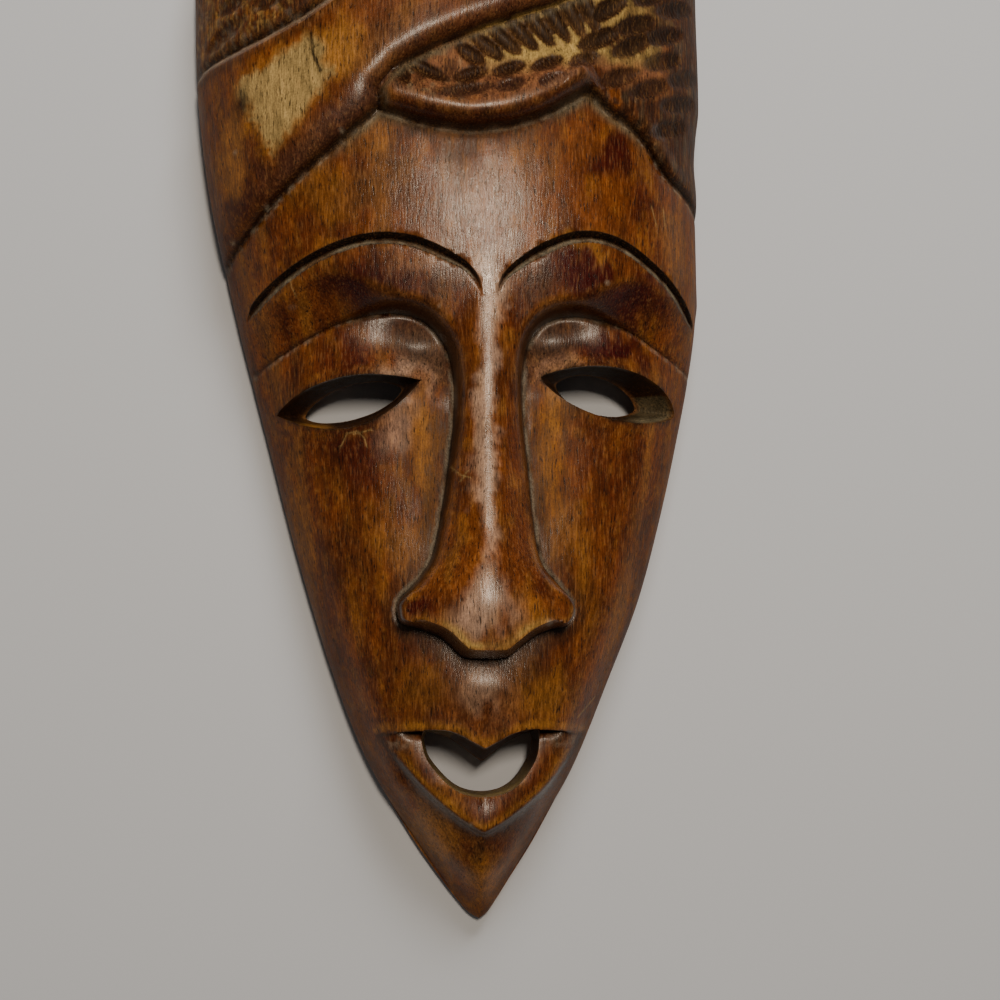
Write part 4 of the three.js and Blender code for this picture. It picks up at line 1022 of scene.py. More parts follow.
def add_rim(body, outer_ids, inner_ids):
    """The flat back face between the blank's edge and the hollow's."""
    sites = Sites([blank_loop, hollow_loop])
    sites.add_fill(grid_fill(blank_loop, BACK_FILL), FILL_CLEAR * BACK_FILL)
    points, faces, loop_ids = sites.net()
    between = np.ones(len(points), bool)
    between[loop_ids] = False
    ids = np.empty(len(points), int)
    ids[loop_ids] = np.r_[outer_ids, inner_ids]
    ids[between] = body.add(points[between], 0, RIM)
    body.faces.append(ids[faces][:, ::-1])


def carve():
    body = Body()
    face_loops = [lens(*eye["front"]) for eye in EYES.values()]
    face_loops.append(mouth_loop(OPENING_LIFT["front"], 0, 1))
    back_loops = [lens(*eye["back"]) for eye in EYES.values()]
    back_loops.append(mouth_loop(OPENING_LIFT["back"], OPENING_TOOTH_DROP, OPENING_BACK_SHRINK))
    outer_ids, face_ids = add_front(body, face_loops)
    inner_ids, back_ids = add_hollow(body, back_loops)
    add_holes(body, face_loops, back_loops, face_ids, back_ids)
    add_rim(body, outer_ids, inner_ids)
    return np.vstack(body.points), np.concatenate(body.regions), np.vstack(body.faces)


def in_frame(points):
    """Carver's millimetres to metres in the CAD frame, filling the mask's own box."""
    share = (points - points.min(0)) / np.ptp(points, axis=0)
    return lerp(np.array(low_corner), np.array(high_corner), share)


# Stain, wear and dust, and painted highlights and shade, as colours that they show on a flat place in the
# light
DISPLAY_GAMMA = 2.2
BRIGHTEST = 255


def seen(red, green, blue):
    """A colour from 0 to 255 as the wood's own linear colour."""
    return (np.array([red, green, blue]) / BRIGHTEST) ** DISPLAY_GAMMA


STAINS = {
    "brown": seen(94, 48, 18),
    "orange": seen(122, 66, 20),
    "flame": seen(140, 74, 22),
    "amber": seen(142, 94, 40),
    "ochre": seen(160, 130, 72),
    "sapwood": seen(158, 130, 80),
    "oxblood": seen(56, 8, 3),
    "umber": seen(54, 31, 18),
    "purple": seen(68, 42, 32),
    "rose": seen(128, 92, 68),
    "olive": seen(98, 88, 66),
    "black": seen(20, 12, 8),
    "dust": seen(150, 138, 116),
    "raw": seen(140, 98, 58),
    # paler worn wood with a painted highlight on it, laid where the light glints
    "worn_highlight": seen(182, 150, 124),
}

# Places rubbed dull or bright: roughness, centre, half sizes
RUBBED = [
    (0.4, (-20, 180), (16, 15)),
    (0.4, (20, 180), (16, 15)),
    (0.66, (-17, 146), (10, 32)),
    (0.66, (18, 146), (10, 32)),
    (0.34, (-1, 99), (16, 9)),
    (0.28, (0, 150), (4, 46)),
    (0.28, (0, 200), (6, 16)),
    (0.36, (0, 74), (16, 9)),
    (0.5, (-4, 248), (40, 10)),
]
POLISH = 0.36
# Roughness of the other places, and how far it goes there
ROUGH = {
    "ground": (0.62, 0.9), "roll scoops": (0.4, 0.8), "left hair": (0.72, 0.9), "roll": (POLISH, 1),
    "brow": (0.7, 1), "walls": (0.65, 1), "hollow": (0.78, 1), "rim": (0.6, 1), "sides": (0.68, 1),
}
SIDES_FROM = (0.74, 0.99)  # shares of the way from the crest line to the edge

# Cloudy unevenness of the stain: stain, strength, size, seed, where it starts and is full in the
# noise, stretch along the grain
CLOUDS = [
    ("amber", 0.4, 11, 3, 0.1, 0.9, 2.2),
    ("oxblood", 0.5, 9, 4, 0.15, 0.9, 2.4),
    ("orange", 0.35, 4.5, 5, 0.1, 0.8, 2.0),
    ("umber", 0.35, 3.2, 6, 0.15, 0.8, 1.8),
    ("amber", 0.3, 2.4, 7, 0.2, 0.8, 2.4),
]

# Soft stains, with some painted highlights and painted shade among them: colour, centre, half sizes,
# strength
PATCHES = [
    ("amber", (-78, 240), (7, 26), 0.55), ("orange", (-70, 262), (14, 14), 0.5),
    ("amber", (-46, 270), (10, 11), 0.8), ("oxblood", (-72, 238), (4, 5), 0.5),
    ("oxblood", (-76, 230), (4.5, 6), 0.85), ("oxblood", (-80, 223), (4, 7), 0.8),
    ("oxblood", (-83, 213), (4, 7), 0.6), ("umber", (-29, 276), (8, 7), 0.4),
    ("amber", (-48, 229), (17, 10), 0.3), ("umber", (-34, 231), (13, 9), 0.42),
    ("oxblood", (-46, 219), (12, 4), 0.5), ("umber", (-27, 243), (16, 3), 0.35),
    # umber at the top of the forehead is painted shade
    ("umber", (-2, 245), (26, 5), 0.45), ("orange", (22, 244), (16, 8), 0.35),
    # rose over the middle of the forehead is a painted highlight
    ("rose", (2, 226), (20, 12), 0.35), ("oxblood", (39, 240), (9, 7), 0.9),
    ("oxblood", (48, 229), (6, 7), 0.75), ("orange", (40, 230), (8, 8), 0.3),
    ("amber", (62, 216), (7, 16), 0.3), ("umber", (64, 200), (6, 9), 0.3),
    # rose under the inner left brow cut is a painted highlight
    ("amber", (-52, 204), (11, 4), 0.45), ("rose", (-20, 208), (11, 4), 0.4),
    ("oxblood", (-34, 200), (22, 8), 1.0), ("oxblood", (31, 200), (22, 9), 1.0),
    ("oxblood", (50, 199), (15, 8), 0.8), ("amber", (30, 209), (13, 2.5), 0.55),
    ("umber", (-13, 198), (7, 9), 0.45), ("umber", (14, 198), (7, 9), 0.45),
    # painted highlights in the inner sockets, on the left lid and under the left eye, partly paler worn wood
    ("worn_highlight", (-20, 179), (8, 12), 0.36), ("worn_highlight", (20, 179), (8, 11), 0.24),
    ("worn_highlight", (-28, 173), (9, 6), 0.42), ("worn_highlight", (-27, 159), (8, 8), 0.3),
    ("umber", (26, 163), (6, 5), 0.4), ("oxblood", (-44, 181), (13, 7), 0.7),
    ("oxblood", (40, 181), (15, 8), 1.0), ("umber", (-62, 172), (9, 6), 0.4),
    ("amber", (-18, 148), (5, 22), 0.5), ("amber", (19, 146), (5, 22), 0.4),
    ("amber", (-24, 122), (7, 12), 0.35), ("amber", (24, 122), (6, 12), 0.35),
    ("oxblood", (-40, 148), (13, 11), 0.75), ("oxblood", (40, 146), (10, 8), 0.45),
    ("umber", (-42, 116), (8, 12), 0.35), ("amber", (-61, 130), (3, 30), 0.3),
    ("umber", (50, 122), (6, 22), 0.4), ("oxblood", (-21, 104), (6, 5), 0.9),
    # painted highlights on the nose tip, the nose ridge and its root, partly paler worn wood
    ("oxblood", (16, 107), (4, 6), 0.7), ("worn_highlight", (-3, 98.5), (12, 6.5), 0.5),
    ("worn_highlight", (0, 150), (3.6, 46), 0.55), ("worn_highlight", (0.5, 200), (4, 14), 0.6),
    ("amber", (-18, 96), (6, 2), 0.4), ("amber", (17, 97), (6, 3), 0.2),
    # rose and pale painted highlight on the muzzle
    ("rose", (-1, 76), (12, 9), 0.5), ("worn_highlight", (-1, 75), (7, 7), 0.3),
    ("umber", (-32, 84), (8, 6), 0.35), ("amber", (-20, 74), (9, 8), 0.35),
    ("amber", (22, 76), (9, 9), 0.3), ("oxblood", (-17, 48), (7, 6), 0.5),
    ("oxblood", (12, 42), (9, 4), 0.3), ("amber", (-14, 31), (8, 14), 0.7),
    ("umber", (12, 30), (5, 12), 0.35), ("amber", (0, 13), (7, 10), 0.55),
    ("black", (-0.5, 21), (2.2, 6), 0.5),
]
PATCH_EDGE = (0.4, 1.3)
SAPWOOD = [
    (-79.7, 263.7), (-68.1, 269.5), (-60.2, 273.4), (-53.6, 276.4), (-49.9, 272), (-48.3, 264.6),
    (-51.4, 258.6), (-56.2, 251.7), (-62.4, 245.2), (-67.4, 239.2), (-70.3, 245.2), (-72.8, 251.7),
    (-75, 257.1),
]
KNOT = {"at": (-76.6, 257.8), "half": (2.2, 4.4)}

# Straying of painted places: reach, size, seed and stretch along the grain of each noise
WARP_ACROSS = [(3, 11, 10), (1.6, 3.5, 11), (0.7, 1.6, 12)]
WARP_ALONG = [(6, 11, 20, 2), (3.2, 3.5, 21, 2), (1.4, 1.6, 22, 2)]
WOBBLE = [(0.3, 3.4, 90), (0.22, 1.3, 91)]
SAPWOOD_STRAY = [(1.8, 0.9, 65, 7), (1.6, 4, 66)]
UNROLL = (0.5, 1)  # the sides' noise is unrolled outwards between these shares of the way to the edge

# Soft borders: where each starts and where it is full, and the reach, size and seed of its straying
BORDERS = {
    "sapwood rim": (-4, 0.5), "sapwood": (-1.2, 2.6),
    "worn edge": (0.04, 0.3), "fine hollow": (0.02, 0.25), "broad hollow": (0.15, 1.2),
    "above roll": (5, 8, 1.5, 4, 30), "ochre up": (263, 270, 2.5, 4, 31), "ochre from": (-12, 4, 4, 5, 32),
    "ochre to": (48, 62, 5, 6, 33), "low": (260, 266, 2, 5, 34), "low from": (22, 32),
    "dark from": (50, 62, 5, 7, 35), "recess to": (-14, -2), "thinned from": (26, 44),
    "scoop": (0.1, 0.34, 0.1, 1.6, 39), "deep scoop": (0.7, 1.4), "near roll": (258, 264),
    "left scoop": (0.5, 1.2, 0.25, 1.6, 48), "roll from": (-33, -27), "roll to": (24, 31),
    "flank": (4, 13, 2.5, 4, 40), "flank up": (218, 236), "peak from": (16, 26), "peak to": (44, 54),
    "brow ends": (0, 0.5), "brow wall": (0.3, 0.9),
    "socket out": (30, 50), "socket shade": (110, 170), "above nose": (165, 185),
    "under nose": (2.2, 3.2), "wing": (0.8, 1.6), "lower lip": (3, 9), "mouth corner": (16, 24),
    "eye wall from": (47, 51), "eye wall to": (55, 60), "right eye wall": (44, 52), "mouth wall": (47, 53),
}
# Blots: size, seed, where they start and are full in the noise, stretch along the grain
BLOTS = {
    "worn": (3, 8, -0.3, 0.6), "recess shade": (2.6, 36, -0.4, 0.3), "recess wax": (2.2, 43, 0, 0.5),
    "thinned ochre": (2.6, 64, -0.5, 0.4, 2), "edge wax": (2.2, 37, 0, 0.7, 2),
    "flame": (3, 38, -0.2, 0.5, 2), "flame core": (1.7, 44, -0.4, 0.2),
    "left amber": (3.2, 45, 0, 0.6), "left ochre": (1.6, 46, 0.1, 0.6), "left purple": (4.4, 47, 0.1, 0.5),
    "left dust": (2.1, 49, 0.3, 0.7), "worn nose": (4, 51, -0.3, 0.3), "worn lips": (3.4, 52, -0.4, 0.4),
    "worn eyes": (4, 53, -0.4, 0.4), "hollow umber": (5, 60, -0.2, 0.7, 5),
    "hollow brown": (14, 61, -0.1, 0.5), "rim amber": (6, 62, -0.3, 0.5, 2),
}
LEAST_WORN = {"worn": 0.3, "worn nose": 0.4, "worn lips": 0.45, "worn eyes": 0.4}
# Specks of dust: their mean and spread away from the named place and at it, size, seed, stretch
SPECKS = {
    "groove middle": ((0.35, 0.9), (0.55, 0.3), 1.7, 41),
    "brow": ((0.55, 0.45), (0.55, 0.45), 2.2, 42),
    "beside nose": ((0.25, 0.7), (0.75, 0.7), 1.8, 50, 2),
    "mouth": ((0.5, 1), (0.5, 1), 1.8, 55),
}
DUST = {"left hair": 0.22, "groove": 0.75, "brow": 0.4, "sockets": 0.75, "mouth": 0.5}
RIBS = {"dark hair": 0.7, "left hair": 0.6}


class Paint:
    """Colour, dust, roughness and ribs of some of the vertices."""

    def __init__(self, points):
        count = len(points)
        self.x, self.y = points[:, :2].T
        crest_x, crest_y = crest_point(self.y, CHIN_CENTRE, SHOULDER)
        out_x = self.x - crest_x
        out_y = self.y - crest_y
        drop = (NOSE_RIDGE(0) - points[:, 2]) * smoothstep(blank_radius(self.x, self.y), *UNROLL)
        fold = drop / np.maximum(np.hypot(out_x, out_y), TINY)
        self.across = self.x + out_x * fold
        self.up = self.y + out_y * fold
        self.colour = np.tile(STAINS["brown"], (count, 1))
        self.dust = np.zeros(count)
        self.rough = np.full(count, POLISH)
        self.ribs = np.zeros(count)
        self.wobble = self.stray(WOBBLE)

    def noise(self, size, seed, stretch=1.0):
        return noise(self.across, self.up, size, seed, stretch)

    def stray(self, rows):
        """How far painted places stray, in millimetres."""
        return waves(self.across, self.up, rows)

    def border(self, name, value):
        """From 0 before a soft border to 1 past it."""
        low, high, *wave = BORDERS[name]
        return smoothstep(value + self.stray([wave] if wave else []), low, high)

    def ragged(self, size, seed, low, high, stretch=1.0):
        """Soft blots, from 0 to 1."""
        return smoothstep(self.noise(size, seed, stretch), low, high)

    def blots(self, name):
        """Named blots, from their least share to 1."""
        return lerp(LEAST_WORN.get(name, 0), 1, self.ragged(*BLOTS[name]))

    def specks(self, name, at_place=0):
        """Specks of dust, from 0 to 1."""
        away, there, *wave = SPECKS[name]
        mean, spread = lerp(np.array(away)[:, None], np.array(there)[:, None], at_place)
        return np.clip(mean + spread * self.noise(*wave), 0, 1)

    def lay(self, *coats):
        """Coats of stain, each with its strength and where it lies."""
        for stain, strength, where in coats:
            amount = np.clip(strength * where, 0, 1)[:, None]
            self.colour = lerp(self.colour, STAINS[stain], amount)

    def lay_lines(self, distance, lines, where):
        """Ragged lines beside an edge, each a stain with its place, half width and strength."""
        for stain, at, wide, strength in lines:
            self.lay((stain, strength, where * bell(distance + self.wobble - at, wide)))

    def roughen(self, level, strength, where):
        self.rough = lerp(self.rough, level, np.clip(strength * where, 0, 1))

    def add_dust(self, amount):
        self.dust = np.maximum(self.dust, amount)

    def add_ribs(self, amount):
        self.ribs = np.maximum(self.ribs, amount)

    def values(self):
        return np.column_stack([self.colour, self.dust, self.rough, self.ribs])


def smoothed(values, links, counts, rounds):
    """Values averaged with their neighbours' over the mesh, a number of rounds."""
    a, b = links
    for _ in range(rounds):
        total = np.stack([np.bincount(a, axis[b], len(values)) for axis in values.T], 1)
        values = (values + total / counts[:, None]) / 2
    return values


def relief_over(points, faces, rounds):
    """How far each vertex stands out over its surroundings, in millimetres. Hollows are negative."""
    ends = np.vstack([faces[:, [0, 1]], faces[:, [1, 2]], faces[:, [2, 0]]])
    links = np.vstack([ends, ends[:, ::-1]]).T
    counts = np.maximum(np.bincount(links[0], minlength=len(points)), 1)
    corners = points[faces]
    facing = np.cross(corners[:, 1] - corners[:, 0], corners[:, 2] - corners[:, 0])
    normals = np.zeros_like(points)
    for corner in faces.T:
        for axis in range(3):
            normals[:, axis] += np.bincount(corner, facing[:, axis], len(points))
    normals /= np.maximum(np.linalg.norm(normals, axis=1), TINY)[:, None]
    return [((points - smoothed(points, links, counts, count)) * normals).sum(1) for count in rounds]


def paint_clouds(paint):
    """Uneven stain, the named soft patches, and the places rubbed dull or bright."""
    for stain, strength, *blots in CLOUDS:
        paint.lay((stain, strength, paint.ragged(*blots)))
    x = paint.x + paint.stray(WARP_ACROSS)
    y = paint.y + paint.stray(WARP_ALONG)

    def patch(centre, half):
        r = np.hypot((x - centre[0]) / half[0], (y - centre[1]) / half[1])
        return 1 - smoothstep(r, *PATCH_EDGE)

    for stain, centre, half, strength in PATCHES:
        paint.lay((stain, strength, patch(centre, half)))
    for level, centre, half in RUBBED:
        paint.roughen(level, 1, patch(centre, half))


def paint_sapwood(paint):
    """Bare pale sapwood on the band, fibrous at its edges, with a knot beside it."""
    edge = nearest(np.array([*SAPWOOD, SAPWOOD[0]]), paint.x, paint.y)[0]
    edge *= np.where(is_inside(SAPWOOD, paint.x, paint.y), 1, -1)
    edge += paint.stray(SAPWOOD_STRAY)
    across = (paint.x - KNOT["at"][0] + paint.wobble) / KNOT["half"][0]
    along = (paint.y - KNOT["at"][1]) / KNOT["half"][1]
    paint.lay(
        ("amber", 0.5, paint.border("sapwood rim", edge)),
        ("sapwood", 0.95, paint.border("sapwood", edge)),
        ("black", 0.95, bell(np.hypot(across, along), 1)),
    )


def paint_wear(paint, fine, broad):
    """Stain worn off the edges, and darker paint in the fine and broad hollows."""
    paint.lay(
        ("amber", 0.28, paint.blots("worn") * paint.border("worn edge", fine)),
        # darker in the fine and in the broad hollows of the relief
        ("umber", 0.6, paint.border("fine hollow", -fine)),
        ("umber", 0.55, paint.border("broad hollow", -broad)),
    )


# Lines beside the carved edges, painted shade and painted highlights among them: stain, distance from the
# edge, half width, strength
# on the rolled edge: painted shade on the lower flank that faces down, and a rose painted highlight along
# the crest
ROLL_SHADE_AND_HIGHLIGHT = [("oxblood", 1.2, 2.2, 0.75), ("umber", 3.4, 1.6, 0.35), ("rose", 5.6, 1.2, 0.5)]
# the black line in the crease at the band's edge is painted shade
BAND_EDGE_LINES = [("umber", -2.2, 1.3, 0.55), ("olive", -2.2, 1.1, 0.5), ("black", -0.2, 0.55, 0.95)]
# behind the band: the black line in the cut is painted shade, and the pale dust line on the ledge that faces
# the light is partly dust and partly painted light
BAND_BACK_LINES = [
    ("umber", -3.4, 1.8, 0.6), ("dust", -0.9, 0.9, 0.6), ("black", 0.9, 0.75, 0.9), ("umber", 2.6, 1.6, 0.6),
]
# the black line in the groove round the forehead is painted shade
GROOVE_SHADE_LINES = [("black", 0.4, 0.8, 0.8)]
GROOVE_FLOOR_LINES = [("umber", -1.4, 1.6, 0.5), ("olive", -1.8, 1.5, 0.6)]
# painted shade: a black line in the crease round the sockets and the nose
SOCKET_CREASE_SHADE = [("black", 0.3, 0.8, 0.85)]
SOCKET_SHADE = [("umber", 1.6, 1.5, 0.8)]
UNDER_NOSE_LINES = [("amber", 4.6, 1.9, 0.85), ("ochre", 4.1, 1.0, 0.7)]
# painted shadow of the nose on the muzzle just below it
SHADOW_UNDER_NOSE = [("umber", 0, 2.6, 0.8)]
ABOVE_LIP_LINES = [("amber", 1.6, 1.3, 0.75), ("black", 0, 0.35, 0.8)]
# painted shade in the mouth under the upper lip
SHADE_UNDER_UPPER_LIP = [("black", 0, 0.9, 0.95)]
BETWEEN_LOWER_LINES = [("amber", 1.1, 0.9, 0.75)]
# painted shade on the chin below the lower lip's step
SHADE_BELOW_LOWER_LIP = [("umber", 0, 4, 0.5), ("black", 0.9, 1.1, 0.6)]
EYE_LINES = [("umber", 0.6, 1.1, 0.45), ("amber", 2.2, 0.8, 0.25), ("black", 0, 0.5, 0.85)]

# Places in the hair's paint
OCHRE_SLOPE = 0.12
FLAME = {"at": (43, 257), "half": (6, 10)}
ROLL_SLOPE = 0.3
ROLL_SCOOPS_TO = 34
ROLL_SCOOPS_PALE = 0.4
BEHIND_FROM = 0.6
SCOOP_STAIN = 1.14  # the stain spreads round each scoop
ROLL_DEEP = 7
BAND_SHADE = {"wide": 9, "off_groove": 2, "off_back": 3}
GROOVE_CORNER = {"at": -36, "wide": 14}
GROOVE_MIDDLE = {"at": -2, "wide": 22}
GROOVE_DUST = {"at": -1.1, "wide": 0.7}


def paint_scooped_ground(paint, in_hair, band, scooped):
    """The ground and the scoops right of the band: rose at the roll, ochre above it, dark beyond."""
    x = paint.x
    y = paint.y
    beside = ((in_hair > 0) & (band < 0)).astype(float)
    ground = beside * paint.border("above roll", in_hair)
    ochre = paint.border("ochre up", y - OCHRE_SLOPE * x)
    ochre *= paint.border("ochre from", x) * (1 - paint.border("ochre to", x))
    low = (1 - paint.border("low", y)) * paint.border("low from", x)
    dark = beside * np.maximum(paint.border("dark from", x), low)
    recess = ground * (1 - paint.border("recess to", x))
    thinned = beside * ochre * paint.border("thinned from", x)
    flame_x, flame_y = (np.stack([x, y], 1) - FLAME["at"]).T / np.array(FLAME["half"])[:, None]
    flame = bell(np.hypot(flame_x, flame_y), 1) * paint.blots("flame")
    scoop = beside * paint.border("scoop", scooped)
    near_roll = 1 - paint.border("near roll", y - ROLL_SLOPE * x)
    on_roll = near_roll * (x < ROLL_SCOOPS_TO)
    paint.lay(
        ("brown", 0.8, ground),
        ("rose", 0.35, ground * (1 - dark)),
        ("umber", 0.75, recess * paint.blots("recess shade")),
        ("olive", 0.5, recess * paint.blots("recess wax")),
        ("ochre", 0.88, ground * ochre),
        ("umber", 0.65, thinned * paint.blots("thinned ochre")),
        ("umber", 0.85, dark),
        ("olive", 0.3, dark * paint.blots("edge wax")),
        ("flame", 0.6, beside * flame * paint.blots("flame core")),
        ("umber", 0.95, scoop * (1 - ROLL_SCOOPS_PALE * near_roll)),
        ("purple", 0.7, scoop * on_roll),
        ("black", 0.5, beside * paint.border("deep scoop", scooped)),
    )
    paint.roughen(*ROUGH["ground"], ground)
    paint.roughen(*ROUGH["roll scoops"], beside * on_roll)
    paint.add_ribs(RIBS["dark hair"] * dark * (1 - flame))


def paint_left_hair(paint, in_hair, back, scooped):
    """Rough hair behind the band, brown and amber with dark cuts."""
    behind = ((in_hair > 0) & (back > BEHIND_FROM)).astype(float)
    paint.lay(
        ("umber", 0.45, behind),
        ("amber", 0.4, behind * paint.blots("left amber")),
        ("ochre", 0.35, behind * paint.blots("left ochre")),
        ("purple", 0.35, behind * paint.blots("left purple")),
        ("umber", 0.75, behind * paint.border("left scoop", scooped)),
    )
    paint.add_dust(DUST["left hair"] * behind * paint.blots("left dust"))
    paint.roughen(*ROUGH["left hair"], behind)
    paint.add_ribs(RIBS["left hair"] * behind)


def paint_hair(paint):
    """The scooped hair, the smooth band's edges and the groove round the forehead."""
    x = paint.x
    y = paint.y
    in_hair, band, back, clear = hair_places(x, y)
    hair = (in_hair > 0).astype(float)
    scooped = np.where(in_hair > 0, scoop_depth(x, y, clear, SCOOP_STAIN), 0)
    paint_scooped_ground(paint, in_hair, band, scooped)
    paint_left_hair(paint, in_hair, back, scooped)
    on_roll = hair * (band < 0) * paint.border("roll from", x) * (1 - paint.border("roll to", x))
    # painted shade on the roll's lower flank and a painted highlight on its crest
    paint.lay_lines(in_hair, ROLL_SHADE_AND_HIGHLIGHT, on_roll)
    paint.roughen(*ROUGH["roll"], on_roll * (in_hair < ROLL_DEEP))
    paint.lay_lines(band, BAND_EDGE_LINES, hair * (in_hair > 1))
    on_band = (band > 0) * (in_hair > BAND_SHADE["off_groove"]) * (back < -BAND_SHADE["off_back"])
    paint.lay(("purple", 0.6, on_band * bell(band, BAND_SHADE["wide"])))
    paint.lay_lines(back, BAND_BACK_LINES, hair)
    # painted shade on the band's flank that rises from the groove
    flank = (band > 0) * hair * (1 - paint.border("flank", in_hair))
    upper_flank = paint.border("flank up", y)
    paint.lay(("purple", 0.8, flank * upper_flank), ("oxblood", 0.5, flank * (1 - upper_flank)))
    paint.lay_lines(in_hair, GROOVE_SHADE_LINES, 1)
    at_peak = paint.border("peak from", x) * (1 - paint.border("peak to", x))
    at_corner = bell(x - GROOVE_CORNER["at"], GROOVE_CORNER["wide"])
    paint.lay_lines(in_hair, GROOVE_FLOOR_LINES, np.maximum(at_peak, at_corner))
    specks = paint.specks("groove middle", bell(x - GROOVE_MIDDLE["at"], GROOVE_MIDDLE["wide"]))
    in_groove = bell(in_hair + paint.wobble - GROOVE_DUST["at"], GROOVE_DUST["wide"])
    paint.add_dust(DUST["groove"] * in_groove * specks)


BROW_PAINT = {"over": 0.15, "line": 0.45, "lip": 0.3}


def paint_brow_cuts(paint):
    """A black upper wall and black bottom line, both painted shade, a dusty lower face partly pale with
    painted light, and a dark line where that ends.
    """
    for line, up in brow_cuts:
        distance, along, side = nearest(line, paint.x, paint.y)
        over = side * up > 0
        above = brow_reach(along, BROW_CUT["above"])
        below = brow_reach(along, BROW_CUT["below"])
        inside = distance < np.where(over, above, below)
        ends = paint.border("brow ends", brow_taper(along))
        under = ends * ~over
        lower_wall = under * inside * paint.specks("brow") * paint.border("brow wall", distance)
        # black on the upper wall and in the bottom line is painted shade; the olive and dust on the lower
        # face are partly dust and partly painted light
        paint.lay(
            ("black", 0.96, ends * (over & (distance < above + BROW_PAINT["over"]))),
            ("black", 0.9, under * bell(distance, BROW_PAINT["line"])),
            ("umber", 0.7, under * inside),
            ("olive", 0.9, lower_wall),
            ("black", 0.8, under * bell(distance - below, BROW_PAINT["lip"])),
        )
        paint.add_dust(DUST["brow"] * lower_wall)
        paint.roughen(*ROUGH["brow"], inside)


# Places in the paint round the sockets, the nose, the mouth and the walls of the holes
SOCKET_OUTER = 0.4
SOCKET_DUST = {"at": -0.7, "wide": 0.5, "wobble": 0.6}
UNDER_NOSE = {"low": 80, "half": 30}
MUZZLE = (70, 100)
NOSE_WING = {"from": 22, "low": 90, "high": 108}
MOUTH_HALF = 34
LOWER_LIP_WORN_TO = 56
MOUTH_CORNER = {"at": 58.4, "high": 2}
EYES_FROM = 100
EYE_WALL_TO = {"left": 163, "right": 169}
TOOTH_WALL = {"half": 15, "high": 6}
MOUTH_WALL_LEFT = -10


def paint_edge_of_sockets(paint):
    """Painted shade in the line round the sockets and the nose with dust beside it, painted shadow under the
    nose, and worn amber on its lower edge.
    """
    x = np.abs(paint.x)
    y = paint.y
    depth = upper_depth(paint.x, y)
    above_tip = smoothstep(y, *EDGE_UNDER)
    inner = 1 - paint.border("socket out", x)
    paint.lay_lines(depth, SOCKET_CREASE_SHADE, above_tip * lerp(SOCKET_OUTER, 1, inner))
    paint.lay_lines(depth, SOCKET_SHADE, above_tip * inner * paint.border("socket shade", y))
    specks = paint.specks("beside nose", 1 - paint.border("above nose", y))
    dusty = bell(depth + SOCKET_DUST["wobble"] * paint.wobble - SOCKET_DUST["at"], SOCKET_DUST["wide"])
    paint.add_dust(DUST["sockets"] * above_tip * dusty * specks)
    # painted shadow: black on the underside of the nose
    under = (1 - above_tip) * (y > UNDER_NOSE["low"]) * (x < UNDER_NOSE["half"])
    paint.lay(("black", 0.9, under * (depth > 0) * (1 - paint.border("under nose", depth))))
    paint.lay_lines(depth, UNDER_NOSE_LINES, under * paint.blots("worn nose"))
    paint.lay_lines(depth, SHADOW_UNDER_NOSE, (y > MUZZLE[0]) & (y < MUZZLE[1]) & (depth < 0))
    # painted shade on the steep ends of the nose's wings
    wing = (x > NOSE_WING["from"]) & (y > NOSE_WING["low"]) & (y < NOSE_WING["high"]) & (depth > 0)
    paint.lay(("black", 0.8, wing * (1 - paint.border("wing", depth))))


def paint_mouth(paint):
    """Painted shade under the upper lip and below the lower lip, amber along the worn edges of both lips."""
    x = paint.x
    y = paint.y
    upper = nearest(upper_lip, x, y)[0]
    lower = nearest(lower_lip, x, y)[0]
    between = is_inside(mouth_region, x, y).astype(float)
    near = (1 - between) * (np.abs(x) < MOUTH_HALF)
    worn = paint.blots("worn lips")
    paint.lay(("oxblood", 0.4, between * (1 - paint.border("lower lip", lower))))
    paint.lay_lines(upper, ABOVE_LIP_LINES, near * (y > lip_height(x)) * worn)
    paint.lay_lines(upper, SHADE_UNDER_UPPER_LIP, between)
    paint.lay_lines(lower, BETWEEN_LOWER_LINES, between * (y < LOWER_LIP_WORN_TO) * worn)
    paint.lay_lines(lower, SHADE_BELOW_LOWER_LIP, near * (y < lip_height(x)))
    corner = paint.border("mouth corner", np.abs(x)) * bell(y - MOUTH_CORNER["at"], MOUTH_CORNER["high"])
    paint.add_dust(DUST["mouth"] * between * corner * paint.specks("mouth"))


def paint_eyes(paint, loops):
    """A dark rim round each eye, a little worn."""
    for loop in loops:
        distance = nearest(np.vstack([loop, loop[:1]]), paint.x, paint.y)[0]
        paint.lay_lines(distance, EYE_LINES, paint.blots("worn eyes"))


def paint_walls(paint, wall):
    """The cut walls of the eyes and the mouth, with pale patches that are partly wood colour and partly
    painted light.
    """
    x = paint.x
    y = paint.y
    at_eyes = wall * (y > EYES_FROM)
    at_mouth = wall - at_eyes
    left = at_eyes * (y < EYE_WALL_TO["left"])
    right = at_eyes * (y < EYE_WALL_TO["right"])
    at_tooth = at_mouth * (np.abs(x) < TOOTH_WALL["half"]) * (y > lip_height(x) - TOOTH_WALL["high"])
    # the amber, sapwood and ochre patches on the walls are partly the wood's colour and partly painted light
    # on walls that face the light
    paint.lay(
        ("umber", 0.9, wall),
        ("black", 0.5, at_eyes),
        ("amber", 0.7, left * paint.border("eye wall from", -x) * (1 - paint.border("eye wall to", -x))),
        ("olive", 0.75, right * paint.border("right eye wall", x)),
        ("oxblood", 0.6, at_tooth),
        ("sapwood", 0.7, at_mouth * (1 - paint.border("mouth wall", y))),
        ("ochre", 0.5, at_mouth * (x < MOUTH_WALL_LEFT)),
    )
    paint.roughen(*ROUGH["walls"], wall)


